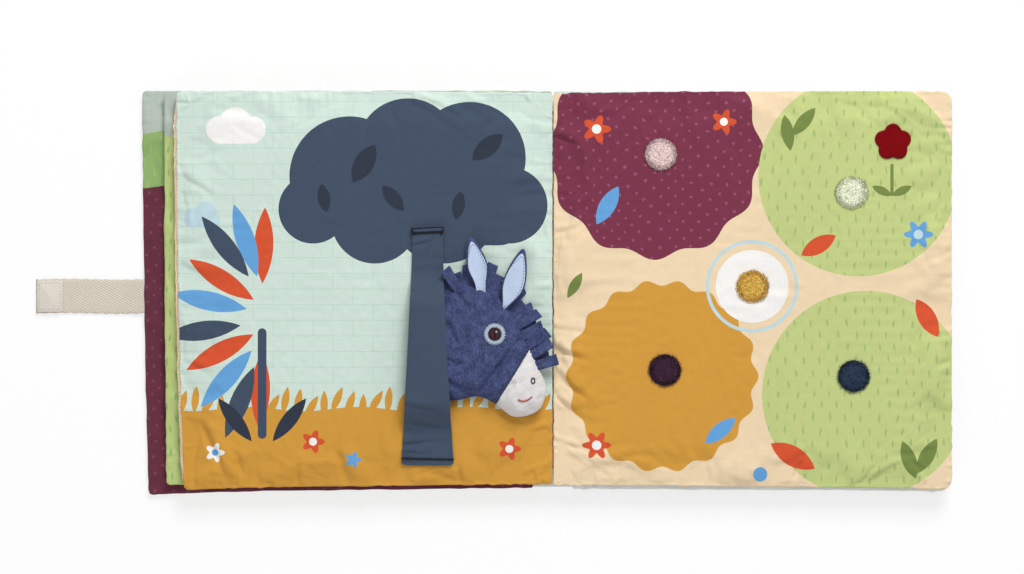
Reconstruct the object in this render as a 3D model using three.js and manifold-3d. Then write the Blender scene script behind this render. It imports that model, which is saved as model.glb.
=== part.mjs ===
// A padded cloth book for a baby, lying open at its middle pages, with a soft pony finger puppet held
// under a strap. Millimetres. +X runs from the front cover to the back cover, +Y to the head of the
// pages and +Z up. The origin is under the middle of the spine, on the surface that the book lies on.
import * as THREE from "three";
import { mergeVertices } from "three/addons/utils/BufferGeometryUtils.js";
import Module from "manifold-3d";

const wasm = await Module();
wasm.setup();

// Driving sizes of the leaves
const pageHeight = 219.3;
const pageTopShare = 0.497;
const leaf1Width = 214;
const leaf2Width = 207.1;
const leaf2Skew = 3.8;
const leaf3Width = 220;
const leaf4Width = 218;
const leafThickness = 4.7;
const cornerRadius = 6;
const sidePull = 1.4;
const rollWidth = 16;
const pageCrown = 0.8;

// The two covers and the strip of cloth that joins them
const frontCoverWidth = 227.8;
const frontCoverSkew = 3.5;
const backCoverWidth = 219.5;
const coverPastTop = 0.5;
const coverPastBottom = 3.3;
const spineWidth = 20;
const spineThickness = 2.4;
const spineEdgeShare = 0.6;

// What a leaf is sewn from
const clothThickness = 0.6;
const fineRollShares = [0, 0.12, 0.32, 0.62, 1];
const plainRollShares = [0, 0.16, 0.5, 1];
const fineParts = 6;
const plainParts = 2;
const rimThickness = 1.6;
const waddingInset = 3;
const bindingThickness = 1.8;
const bindingEndInset = 3;

// Clearances
const seat = 0.3;
const flatSeat = 0.1;
const overrun = 20;

// The strap that is sewn to the left page at both ends
const strapFlatAbove = 18.6;
const strapFlatBelow = 10.5;
const strapTopWidth = 16;
const strapBottomWidth = 29;
const strapFlarePower = 1.25;
const strapOnNeckShare = 0.35;
const strapThickness = 1;
const strapSewn = 6;
const strapRise = 20;
const strapRiseShares = [0, 0.25, 0.5, 0.75, 1];

// The finger puppet
const puppetLength = 100;
const puppetHeight = 73;
const puppetThickness = 8.8;
const puppetRim = 1;
const puppetNose = 4;
const puppetAboveFoot = 40.3;
const neckTopShare = 0.82;
const neckBottomShare = 0.13;
const neckLength = 20;
const pocketWidth = 26;
const pocketHeight = 4.7;
const pocketDepth = 18;
const earLength = 38;
const earWidth = 13;
const earThickness = 2.6;
const liningThickness = 0.9;
const liningMargin = 1.6;
const fringeLength = 12;
const fringeThickness = 2;
const fringeSlit = 0.8;
const fringeUncutShare = 0.3;
const fringeUnevenShare = 0.18;
const eyeDiameter = 7;
const eyeHeight = 1.4;

// The touch discs and the velvet flower on the right page
const discDiameter = 19;
const discHeight = 1.4;
const discScallop = 0.5;
const flowerDiameter = 22;
const flowerThickness = 1.1;
const petalDepth = 2;

// The closing tape
const tapeWidth = 19;
const tapeThickness = 1.2;
const tapeEndLength = 19.1;
const tapeDrop = 12;
const tapeDropShares = [0, 0.25, 0.5, 0.75, 1];
const tapeMiddle = -4;
const hookLength = 14;
const patchThickness = 1.2;
const patchMargin = 0.8;
const loopLength = 20;
const loopInset = 2.5;
const dimpleRamp = 3;

// How many leaves lie under each leaf of a stack
const underCoverCount = 0;
const underInnerCount = 1;
const underOpenCount = 2;

// Places that follow from those sizes
const pageTop = pageHeight * pageTopShare;
const pageBottom = pageHeight - pageTop;
const coverTop = pageTop + coverPastTop;
const coverBottom = pageBottom + coverPastBottom;
const puppetChin = pageBottom - puppetAboveFoot;
const neckHigh = neckTopShare * puppetHeight - puppetChin;
const neckLow = neckBottomShare * puppetHeight - puppetChin;
const strapMiddle = puppetNose + puppetLength * (1 - strapOnNeckShare);
const strapTop = neckHigh + strapRise + strapSewn + strapFlatAbove;
const strapBottom = strapFlatBelow + strapSewn + strapRise - neckLow;
const levelPitch = leafThickness + seat;
const openTop = underOpenCount * levelPitch + leafThickness + pageCrown;
const puppetBase = openTop + seat;
const strapArch = puppetBase + puppetThickness + seat;
const discPeak = openTop + seat + discHeight;
const hingeHeight = (strapArch + strapThickness + discPeak + seat) / 2;

const cloth = (hex, roughness = 0.85) =>
  new THREE.MeshStandardMaterial({ color: hex, roughness, metalness: 0 });
const finishes = {
  wadding: cloth(0xf4f2ec, 0.95),
  mint: cloth(0xcfe0d6),
  maroon: cloth(0x7f3450),
  green: cloth(0xc3da84),
  sand: cloth(0xe6d2ae),
  navyCotton: cloth(0x3f4c61),
  tape: cloth(0xd6cdbc),
  hook: cloth(0xe0d8ca, 0.7),
  fleece: cloth(0x3d4468, 0.95),
  felt: cloth(0xb9c4e2, 0.9),
  creamFelt: cloth(0xefe6df, 0.9),
  velvet: cloth(0x8a0f16, 0.6),
  thread: cloth(0x2b1420, 0.6),
  threadCream: cloth(0xe4e3d3, 0.7),
  threadRose: cloth(0xd8c6c8, 0.7),
  threadOchre: cloth(0xd9a02f, 0.7),
  threadPlum: cloth(0x3a1838, 0.7),
  threadNavy: cloth(0x26355c, 0.7),
};

const book = new THREE.Group();

function addPiece(name, geometry, material, parent = book) {
  const mesh = new THREE.Mesh(geometry, material);
  mesh.name = name;
  parent.add(mesh);
  return mesh;
}

// A closed solid between two height fields over one grid. place gives x and y of a grid point.
function sheetSolid(us, vs, place, upper, lower) {
  const points = [];
  for (const height of [upper, lower])
    for (const v of vs)
      for (const u of us) {
        const [x, y] = place(u, v);
        points.push(x, y, height(u, v));
      }
  const columns = us.length;
  const rows = vs.length;
  const layer = columns * rows;
  const faces = [];
  const quad = (a, b, c, d) => faces.push(a, b, c, a, c, d);
  for (let j = 0; j + 1 < rows; j++)
    for (let i = 0; i + 1 < columns; i++) {
      const a = j * columns + i;
      quad(a, a + 1, a + columns + 1, a + columns);
      quad(layer + a, layer + a + columns, layer + a + columns + 1, layer + a + 1);
    }
  for (let i = 0; i + 1 < columns; i++) {
    const far = (rows - 1) * columns + i;
    quad(layer + i, layer + i + 1, i + 1, i);
    quad(layer + far + 1, layer + far, far, far + 1);
  }
  for (let j = 0; j + 1 < rows; j++) {
    const near = j * columns;
    const far = near + columns - 1;
    quad(layer + near + columns, layer + near, near, near + columns);
    quad(layer + far, layer + far + columns, far + columns, far);
  }
  const geometry = new THREE.BufferGeometry();
  geometry.setAttribute("position", new THREE.Float32BufferAttribute(points, 3));
  geometry.setIndex(faces);
  return faceOut(geometry);
}

// Turns every triangle round if the solid came out inside out, as a mirrored grid does.
function faceOut(geometry) {
  const p = geometry.attributes.position;
  const index = geometry.index.array;
  const [a, b, c] = [new THREE.Vector3(), new THREE.Vector3(), new THREE.Vector3()];
  let volume = 0;
  for (let i = 0; i < index.length; i += 3) {
    a.fromBufferAttribute(p, index[i]);
    b.fromBufferAttribute(p, index[i + 1]);
    c.fromBufferAttribute(p, index[i + 2]);
    volume += a.dot(b.cross(c));
  }
  if (volume < 0)
    for (let i = 0; i < index.length; i += 3)
      [index[i + 1], index[i + 2]] = [index[i + 2], index[i + 1]];
  geometry.computeVertexNormals();
  return geometry;
}

function toSolid(geometry) {
  const bare = new THREE.BufferGeometry();
  bare.setAttribute("position", geometry.attributes.position.clone());
  if (geometry.index) bare.setIndex(geometry.index.clone());
  const merged = mergeVertices(bare, 1e-4);
  return new wasm.Manifold(
    new wasm.Mesh({
      numProp: 3,
      vertProperties: new Float32Array(merged.attributes.position.array),
      triVerts: new Uint32Array(merged.index.array),
    }),
  );
}

function fromSolid(solid) {
  const mesh = solid.getMesh();
  const geometry = new THREE.BufferGeometry();
  geometry.setAttribute("position", new THREE.Float32BufferAttribute(mesh.vertProperties, 3));
  geometry.setIndex(Array.from(mesh.triVerts));
  geometry.computeVertexNormals();
  return geometry;
}

// Grid lines over a length: close together near both ends, where the pad rolls over to its seam
function gridLines(length, endSteps, middleParts, extra = []) {
  const lines = new Set(extra);
  for (const step of endSteps) {
    lines.add(step);
    lines.add(length - step);
  }
  const inner = endSteps[endSteps.length - 1];
  for (let i = 1; i < middleParts; i++) lines.add(inner + ((length - 2 * inner) * i) / middleParts);
  return [...lines].sort((a, b) => a - b);
}

// The outline and swell of one leaf. u runs outwards from the gutter and v up from the bottom edge.
function leafForm({ side, inner, width, top, bottom, level, skew = 0, crown = 0, dimple }) {
  const length = width - inner;
  const height = top + bottom;
  const middle = level * levelPitch + leafThickness / 2;

  function place(u, v) {
    const cornerU = Math.max(cornerRadius - u, u - (length - cornerRadius), 0) / cornerRadius;
    const cornerV = Math.max(cornerRadius - v, v - (height - cornerRadius), 0) / cornerRadius;
    const roundU = cornerU * (1 - Math.sqrt(1 - cornerV ** 2 / 2)) * cornerRadius;
    const roundV = cornerV * (1 - Math.sqrt(1 - cornerU ** 2 / 2)) * cornerRadius;
    const acrossU = (2 * u - length) / length;
    const acrossV = (2 * v - height) / height;
    const outward = u - Math.sign(acrossU) * roundU;
    const upward = v - Math.sign(acrossV) * roundV;
    const narrowed = (skew * (1 - v / height) + sidePull * (1 - acrossV ** 2)) * (outward / length);
    const drawnIn = sidePull * (1 - acrossU ** 2) * acrossV;
    return [side * (inner + outward - narrowed), upward - bottom - drawnIn];
  }

  const roll = (distance) => Math.sqrt(1 - (1 - Math.min(distance, rollWidth) / rollWidth) ** 2);
  const swell = (u, v) => roll(u) * roll(length - u) * roll(v) * roll(height - v);
  const rise = (u, v) =>
    rimThickness / 2 + ((leafThickness - rimThickness) / 2) * swell(u, v);
  const crowned = (u, v) =>
    crown * (1 - (2 * (u / length) - 1) ** 2) * (1 - (2 * (v / height) - 1) ** 2);
  // How far the underside is pushed up over a patch that is sewn under it
  const pushed = (u, v) => {
    if (!dimple) return 0;
    const past = Math.max(
      dimple.low - u, u - dimple.high, Math.abs(v - bottom - dimple.middle) - dimple.half, 0,
    );
    return dimple.depth * Math.max(0, 1 - past / dimpleRamp);
  };
  const upper = (u, v) => middle + rise(u, v) + crowned(u, v);
  const lower = (u, v) => Math.max(middle - rise(u, v), middle - leafThickness / 2 + pushed(u, v));
  return { length, height, middle, place, upper, lower, dimple, bottom };
}

// The upper cloth, the lower cloth and the wadding between them, each a solid of its own
function addLeaf(name, form, fine, upperFinish, lowerFinish, parent) {
  const { length, height, middle, place, upper, lower, dimple, bottom } = form;
  const endSteps = (fine ? fineRollShares : plainRollShares).map((share) => share * rollWidth);
  const parts = fine ? fineParts : plainParts;
  const extraU = [];
  const extraV = [];
  if (dimple) {
    for (const u of [dimple.low - dimpleRamp, dimple.low, dimple.high]) extraU.push(u);
    for (const half of [dimple.half, dimple.half + dimpleRamp])
      extraV.push(bottom + dimple.middle - half, bottom + dimple.middle + half);
  }
  const us = gridLines(length, endSteps, parts);
  const vs = gridLines(height, endSteps, parts);
  const underUs = gridLines(length, endSteps, parts, extraU);
  const underVs = gridLines(height, endSteps, parts, extraV);
  const thick = clothThickness;
  addPiece(name + "_upper_cloth",
    sheetSolid(us, vs, place, upper, (u, v) => upper(u, v) - thick), upperFinish, parent);
  addPiece(name + "_lower_cloth",
    sheetSolid(underUs, underVs, place, (u, v) => lower(u, v) + thick, lower), lowerFinish, parent);

  const trimmed = (lines, total) => [
    waddingInset,
    ...lines.filter((l) => l > waddingInset + clothThickness && l < total - waddingInset - clothThickness),
    total - waddingInset,
  ];
  const skin = thick + seat;
  addPiece(name + "_wadding",
    sheetSolid(trimmed(underUs, length), trimmed(underVs, height), place,
      (u, v) => Math.max(upper(u, v) - skin, middle),
      (u, v) => Math.min(lower(u, v) + skin, middle - flatSeat)),
    finishes.wadding, parent);
}

// A soft form with a closed outline: full in the middle and thin at its seam all round. Each ring is
// the outline drawn in to a share of its distance from the centre.
const swellPower = 2.6;
const fullRingShares = [1, 0.95, 0.84, 0.62, 0.34];
const earRingShares = [1, 0.85, 0.5];
const discRingShares = [1, 0.8, 0.45];
const eyeRingShares = [1, 0.6];

function pillow(outline, centre, thickness, rim, rings) {
  const points = [];
  const full = (thickness - rim) / 2;
  const swell = (r) => rim / 2 + full * Math.sqrt(Math.max(0, 1 - r ** swellPower));
  for (const sign of [1, -1]) {
    for (const r of rings)
      for (const p of outline)
        points.push(centre.x + (p.x - centre.x) * r, centre.y + (p.y - centre.y) * r, sign * swell(r));
    points.push(centre.x, centre.y, sign * swell(0));
  }
  const n = outline.length;
  const layer = n * rings.length + 1;
  const faces = [];
  for (const [base, up] of [[0, true], [layer, false]]) {
    const add = (a, b, c) => (up ? faces.push(a, b, c) : faces.push(a, c, b));
    for (let k = 0; k + 1 < rings.length; k++)
      for (let i = 0; i < n; i++) {
        const a = base + k * n + i;
        const b = base + k * n + ((i + 1) % n);
        add(a, b, b + n);
        add(a, b + n, a + n);
      }
    const last = base + (rings.length - 1) * n;
    for (let i = 0; i < n; i++) add(last + i, last + ((i + 1) % n), base + layer - 1);
  }
  for (let i = 0; i < n; i++) {
    const j = (i + 1) % n;
    faces.push(layer + i, layer + j, j, layer + i, j, i);
  }
  const geometry = new THREE.BufferGeometry();
  geometry.setAttribute("position", new THREE.Float32BufferAttribute(points, 3));
  geometry.setIndex(faces);
  return faceOut(geometry);
}

// A flat plate of a closed outline, centred on z = 0
function plate(outline, thickness) {
  const geometry = new THREE.ExtrudeGeometry(new THREE.Shape(outline), {
    depth: thickness, bevelEnabled: false, curveSegments: 1,
  });
  return geometry.translate(0, 0, -thickness / 2);
}

// The height of a piece's surface under a small disc, so that the disc can be laid on it
function heightUnder(meshes, x, y, radius) {
  const caster = new THREE.Raycaster();
  book.updateMatrixWorld(true);
  let height = -Infinity;
  for (let i = 0; i <= 8; i++) {
    const r = i === 8 ? 0 : radius;
    const angle = (i * Math.PI) / 4;
    const from = new THREE.Vector3(
      x + r * Math.cos(angle), y + r * Math.sin(angle), 2 * hingeHeight);
    caster.set(from, new THREE.Vector3(0, 0, -1));
    for (const hit of caster.intersectObjects(meshes, false)) height = Math.max(height, hit.point.z);
  }
  return height;
}

// Leaves and covers
const gutter = bindingThickness / 2 + seat;
const spineEdge = spineWidth / 2 + seat;
const loopOuter = backCoverWidth - loopInset - spineEdge;
const forms = {
  front_cover: leafForm({
    side: -1, inner: spineEdge, width: frontCoverWidth, top: coverTop, bottom: coverBottom,
    level: underCoverCount, skew: frontCoverSkew,
  }),
  leaf_1: leafForm({
    side: -1, inner: gutter, width: leaf1Width, top: pageTop, bottom: pageBottom,
    level: underInnerCount,
  }),
  leaf_2: leafForm({
    side: -1, inner: gutter, width: leaf2Width, top: pageTop, bottom: pageBottom,
    level: underOpenCount, skew: leaf2Skew, crown: pageCrown,
  }),
  leaf_3: leafForm({
    side: 1, inner: gutter, width: leaf3Width, top: pageTop, bottom: pageBottom,
    level: underOpenCount, crown: pageCrown,
  }),
  leaf_4: leafForm({
    side: 1, inner: gutter, width: leaf4Width, top: pageTop, bottom: pageBottom,
    level: underInnerCount,
  }),
  back_cover: leafForm({
    side: 1, inner: spineEdge, width: backCoverWidth, top: coverTop, bottom: coverBottom,
    level: underCoverCount,
    dimple: {
      low: loopOuter - loopLength - seat, high: loopOuter + seat, middle: tapeMiddle,
      half: tapeWidth / 2 + seat,
      depth: patchThickness + seat,
    },
  }),
};
addLeaf("front_cover", forms.front_cover, false, finishes.maroon, finishes.mint, book);
addLeaf("leaf_1", forms.leaf_1, false, finishes.green, finishes.mint, book);
addLeaf("leaf_2", forms.leaf_2, true, finishes.mint, finishes.sand, book);
addLeaf("leaf_3", forms.leaf_3, true, finishes.sand, finishes.mint, book);
addLeaf("leaf_4", forms.leaf_4, false, finishes.mint, finishes.green, book);
addLeaf("back_cover", forms.back_cover, false, finishes.mint, finishes.mint, book);

// The spine strip lies flat on the table, and the sewn gutter of all the leaves stands on it
const acrossShare = 0.8;

function addSpine() {
  const half = spineWidth / 2;
  const across = [-half, -half * acrossShare, 0, half * acrossShare, half];
  const along = [-coverBottom + sidePull, coverTop - sidePull];
  addPiece("spine_strip",
    sheetSolid(across, along, (u, v) => [u, v],
      (u) => spineThickness * (1 - (1 - spineEdgeShare) * (u / half) ** 4), () => 0),
    finishes.mint);
  const low = spineThickness + flatSeat;
  const high = forms.leaf_2.middle + rimThickness / 4;
  const length = pageTop + pageBottom - 2 * bindingEndInset;
  const fin = new THREE.BoxGeometry(bindingThickness, length, high - low);
  fin.translate(0, (pageTop - pageBottom) / 2, (high + low) / 2);
  addPiece("gutter_binding", fin, finishes.mint);
}
addSpine();

// The puppet's outline in shares of its length and height. It runs on past the neck's open end, where
// it is cut square, so that the neck is as full there as elsewhere.
const neckEndShare = 0.26;
const neckMiddleShare = 0.455;
const puppetShares = [
  [0, 0.77], [0.18, 0.76], [0.33, 0.8], [0.45, 0.9], [0.57, 0.985], [0.69, 0.96], [0.8, 0.8],
  [0.88, 0.59], [0.95, 0.39], [1, 0.21], [0.96, 0.05], [0.83, 0], [0.73, 0.09], [0.63, 0.15],
  [0.5, 0.12], [0.36, neckBottomShare], [0.18, 0.15], [0, 0.13], [-0.05, 0.45],
];

// The strap, sewn flat to the page at both ends and arched over the puppet's neck
function addStrap() {
  const ys = new Set([strapTop, strapTop - strapSewn, -strapBottom + strapSewn, -strapBottom]);
  for (const share of strapRiseShares) {
    ys.add(neckHigh + strapRise * share);
    ys.add(neckLow - strapRise * share);
  }
  const ramp = (y) => {
    const past = Math.max(y - neckHigh, neckLow - y, 0);
    const t = Math.min(past / strapRise, 1);
    return 1 - t * t * (3 - 2 * t);
  };
  const width = (y) => {
    const down = (strapTop - y) / (strapTop + strapBottom);
    return strapTopWidth + (strapBottomWidth - strapTopWidth) * down ** strapFlarePower;
  };
  const page = forms.leaf_2;
  const under = (u, y) => {
    const rest = page.upper(strapMiddle - gutter, y + pageBottom) + seat;
    return rest + (strapArch - rest) * ramp(y);
  };
  addPiece("page_strap",
    sheetSolid([-0.5, 0.5], [...ys].sort((a, b) => a - b),
      (u, y) => [-strapMiddle + u * width(y), y],
      (u, y) => under(u, y) + strapThickness, under),
    finishes.navyCotton);
}
addStrap();

// The touch discs: thick embroidery with a scalloped edge, and a flower cut from velvet. Their places
// are shares of the page's width and of the height above its middle.
const scallops = 16;
const petals = 5;
const flowerShares = [0.85, 0.734];
const discShares = [
  ["touch_disc_rose", 0.27, 0.68, finishes.threadRose],
  ["touch_disc_cream", 0.747, 0.486, finishes.threadCream],
  ["touch_disc_ochre", 0.499, 0.013, finishes.threadOchre],
  ["touch_disc_plum", 0.28, -0.41, finishes.threadPlum],
  ["touch_disc_navy", 0.752, -0.44, finishes.threadNavy],
];

function addTouchDiscs() {
  const page = book.getObjectByName("leaf_3_upper_cloth");
  const radius = discDiameter / 2;
  const outline = [];
  for (let i = 0; i < 2 * scallops; i++) {
    const angle = (i * Math.PI) / scallops;
    const r = radius - (i % 2) * discScallop;
    outline.push(new THREE.Vector2(r * Math.cos(angle), r * Math.sin(angle)));
  }
  for (const [name, across, up, finish] of discShares) {
    const x = across * leaf3Width;
    const y = up * pageTop;
    const dome = toSolid(pillow(
      outline, new THREE.Vector2(), 2 * discHeight, discHeight, discRingShares));
    const lower = new THREE.BoxGeometry(discDiameter + overrun, discDiameter + overrun, overrun);
    lower.translate(0, 0, -overrun / 2);
    const disc = addPiece(name, fromSolid(dome.subtract(toSolid(lower))), finish);
    disc.position.set(x, y, heightUnder([page], x, y, radius) + seat);
  }
  const flower = [];
  for (let i = 0; i < 8 * petals; i++) {
    const angle = (i * 2 * Math.PI) / (8 * petals);
    const r = flowerDiameter / 2 - petalDepth * (1 - Math.cos(petals * angle)) / 2;
    flower.push(new THREE.Vector2(r * Math.sin(angle), r * Math.cos(angle)));
  }
  const [x, y] = [flowerShares[0] * leaf3Width, flowerShares[1] * pageTop];
  const applique = addPiece("velvet_flower", plate(flower, flowerThickness), finishes.velvet);
  applique.position.set(
    x, y, heightUnder([page], x, y, flowerDiameter / 2) + seat + flowerThickness / 2);
}
addTouchDiscs();

// The closing tape comes out of the front cover's edge seam. Its band is as long as the closed book is
// thick, and its end carries the hook patch that meets the loop patch under the back cover.
function addClosure() {
  const seam = forms.front_cover.middle;
  const [edge] = forms.front_cover.place(forms.front_cover.length, coverBottom + tapeMiddle);
  const start = edge - seat;
  const seamTop = seam + tapeThickness / 2;
  const bandLength = 2 * hingeHeight - seamTop + patchThickness + flatSeat + seat;
  const fold = start - bandLength;
  const half = tapeWidth / 2;
  const across = [tapeMiddle - half, tapeMiddle + half];
  const drop = (u) => {
    const t = Math.min(u / tapeDrop, 1);
    return seamTop + (tapeThickness - seamTop) * t * t * (3 - 2 * t);
  };
  const along = tapeDropShares.map((share) => share * tapeDrop);
  addPiece("closure_tape_band",
    sheetSolid([...along, bandLength - seat / 2], across, (u, v) => [start - u, v],
      (u) => drop(u), (u) => drop(u) - tapeThickness),
    finishes.tape);
  const end = new THREE.BoxGeometry(tapeEndLength, tapeWidth, tapeThickness);
  end.translate(fold - seat / 2 - tapeEndLength / 2, tapeMiddle, tapeThickness / 2);
  addPiece("closure_tape_end", end, finishes.tape);
  const hook = new THREE.BoxGeometry(hookLength, tapeWidth - 2 * patchMargin, patchThickness);
  hook.translate(fold - seat / 2 - tapeEndLength + patchMargin + hookLength / 2, tapeMiddle,
    tapeThickness + flatSeat + patchThickness / 2);
  addPiece("closure_hook_patch", hook, finishes.hook);
  const loop = new THREE.BoxGeometry(loopLength, tapeWidth, patchThickness);
  const [loopEnd] = forms.back_cover.place(loopOuter, coverBottom + tapeMiddle);
  loop.translate(loopEnd - loopLength / 2, tapeMiddle, patchThickness / 2);
  addPiece("closure_loop_patch", loop, finishes.hook);
}
addClosure();

const bodyCentreShares = [0.6, 0.5];
const muzzleShares = [0.82, 0.3];
const muzzleAngle = -0.55;
const eyeShares = [0.72, 0.62];
const maneShares = [0.181, 0.208];
const forelockShares = [0.339, 0.416];
const maneTabs = 2;
const forelockTabs = 5;
const outlineCount = 48;
const earCount = 20;
const earShares = [
  [0, 0], [0.36, 0.18], [0.5, 0.48], [0.3, 0.8], [0, 1], [-0.3, 0.8], [-0.5, 0.48], [-0.36, 0.18],
];
const earPlaceShares = { near: [0.65, 0.84], far: [0.755, 0.77] };
const earAngles = { near: 0.15, far: -0.35 };
const puppetCurve = new THREE.CatmullRomCurve3(
  puppetShares.map(([x, y]) => new THREE.Vector3(x * puppetLength, y * puppetHeight, 0)), true);
const puppetOutline = (count) =>
  puppetCurve.getPoints(count).slice(0, count).map((p) => new THREE.Vector2(p.x, p.y));

// A point at a distance outside the puppet's outline
function outsidePuppet(t, distance) {
  const p = puppetCurve.getPoint(t);
  const tangent = puppetCurve.getTangent(t);
  return new THREE.Vector2(p.x - tangent.y * distance, p.y + tangent.x * distance);
}

// A comb of cut fleece that stands out from the seam between two places on the outline
function fringe(from, to, tabs, length) {
  const inner = [];
  const outer = [];
  const slit = fringeSlit / (puppetCurve.getLength() * 2);
  for (let i = 0; i < tabs; i++) {
    const a = from + ((to - from) * i) / tabs;
    const b = from + ((to - from) * (i + 1)) / tabs;
    const reach = length * (1 - fringeUnevenShare * ((i * 2) % 3) / 2);
    inner.push(outsidePuppet(a, seat + flatSeat), outsidePuppet((a + b) / 2, seat + flatSeat));
    outer.push(
      outsidePuppet(a + slit, length * fringeUncutShare), outsidePuppet(a + slit, reach),
      outsidePuppet(b - slit, reach), outsidePuppet(b - slit, length * fringeUncutShare),
    );
  }
  inner.push(outsidePuppet(to, seat + flatSeat));
  return plate([...inner, ...outer.reverse()], fringeThickness);
}

function addPuppet() {
  const puppet = new THREE.Group();
  puppet.position.set(
    -puppetNose - puppetLength, -puppetChin, puppetBase + puppetThickness / 2);
  book.add(puppet);
  const at = ([across, up]) => new THREE.Vector2(across * puppetLength, up * puppetHeight);
  const whole = toSolid(pillow(
    puppetOutline(outlineCount), at(bodyCentreShares), puppetThickness, puppetRim, fullRingShares));

  // Cuts: the neck's open end, the seam of the neck, and the slanting seam of the muzzle
  const big = 2 * puppetLength;
  const halfSpace = (x, y, angle) => {
    const box = new THREE.BoxGeometry(big, big, big);
    box.translate(big / 2, 0, 0);
    box.rotateZ(angle);
    box.translate(x, y, 0);
    return toSolid(box);
  };
  const neckEnd = neckEndShare * puppetLength;
  const neckSeam = neckEnd + neckLength;
  const muzzleAt = at(muzzleShares);
  const gapX = seat * Math.cos(muzzleAngle);
  const gapY = seat * Math.sin(muzzleAngle);
  const muzzle = whole.intersect(halfSpace(muzzleAt.x + gapX, muzzleAt.y + gapY, muzzleAngle));
  const head = whole
    .intersect(halfSpace(neckSeam, 0, 0))
    .subtract(halfSpace(muzzleAt.x, muzzleAt.y, muzzleAngle));
  const pocketShape = new THREE.Shape();
  const pocketHalf = (pocketWidth - pocketHeight) / 2;
  pocketShape.absarc(pocketHalf, 0, pocketHeight / 2, -Math.PI / 2, Math.PI / 2);
  pocketShape.absarc(-pocketHalf, 0, pocketHeight / 2, Math.PI / 2, (3 * Math.PI) / 2);
  const pocket = new THREE.ExtrudeGeometry(pocketShape, {
    depth: pocketDepth + overrun, bevelEnabled: false, curveSegments: 5,
  });
  pocket.rotateX(Math.PI / 2);
  pocket.rotateZ(Math.PI / 2);
  pocket.translate(neckEnd - overrun, neckMiddleShare * puppetHeight, 0);
  const neck = whole
    .intersect(halfSpace(neckEnd, 0, 0))
    .subtract(halfSpace(neckSeam - seat, 0, 0))
    .subtract(toSolid(pocket));
  const headMesh = addPiece("puppet_head", fromSolid(head), finishes.fleece, puppet);
  addPiece("puppet_muzzle", fromSolid(muzzle), finishes.creamFelt, puppet);
  addPiece("puppet_neck", fromSolid(neck), finishes.fleece, puppet);

  // Ears, cut where they meet the head's outline
  const grown = [];
  for (let i = 0; i < 2 * outlineCount; i++)
    grown.push(outsidePuppet(i / (2 * outlineCount), seat + flatSeat));
  const headPrism = toSolid(plate(grown, overrun));
  const earCurve = (margin) =>
    new THREE.CatmullRomCurve3(
      earShares.map(([x, y]) => new THREE.Vector3(
        x * (earWidth - 2 * margin), margin + y * (earLength - 2 * margin), 0)), true)
      .getPoints(earCount).slice(0, earCount).map((p) => new THREE.Vector2(p.x, p.y));
  const earMiddle = new THREE.Vector2(0, earLength / 2);
  for (const label of ["near", "far"]) {
    const place = at(earPlaceShares[label]);
    const lay = (geometry, lift) =>
      toSolid(geometry.rotateZ(earAngles[label]).translate(place.x, place.y, lift))
        .subtract(headPrism);
    const back = pillow(earCurve(0), earMiddle, earThickness, puppetRim, earRingShares);
    addPiece("puppet_ear_" + label + "_back", fromSolid(lay(back, 0)), finishes.fleece, puppet);
    const lining = plate(earCurve(liningMargin), liningThickness);
    addPiece("puppet_ear_" + label + "_lining",
      fromSolid(lay(lining, (earThickness + liningThickness) / 2 + flatSeat)), finishes.felt, puppet);
  }
  addPiece("puppet_mane", fringe(...maneShares, maneTabs, fringeLength), finishes.fleece, puppet);
  addPiece("puppet_forelock", fringe(...forelockShares, forelockTabs, fringeLength), finishes.fleece, puppet);

  const eyeAt = at(eyeShares);
  const rim = [];
  for (let i = 0; i < 16; i++) {
    const angle = (i * Math.PI) / 8;
    rim.push(new THREE.Vector2(
      (eyeDiameter / 2) * Math.cos(angle), (eyeDiameter / 2) * Math.sin(angle)));
  }
  const eye = addPiece("puppet_eye",
    pillow(rim, new THREE.Vector2(), eyeHeight, eyeHeight / 3, eyeRingShares),
    finishes.thread, puppet);
  const surface = heightUnder(
    [headMesh], eyeAt.x + puppet.position.x, eyeAt.y + puppet.position.y, eyeDiameter / 2);
  eye.position.set(eyeAt.x, eyeAt.y, surface - puppet.position.z + seat + eyeHeight / 2);
}
addPuppet();

export default book;
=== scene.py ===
"""A padded cloth book for a baby, lying open, with a finger puppet held under a strap.

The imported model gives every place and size. Lengths here are metres, and MM turns millimetres into
them. +X runs from the front cover to the back cover, +Y to the head of the pages and +Z up.
"""
import math
import random
from collections import namedtuple

import bmesh
import bpy
import numpy as np
from mathutils import Matrix, Vector
from mathutils.bvhtree import BVHTree
from mathutils.kdtree import KDTree


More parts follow.
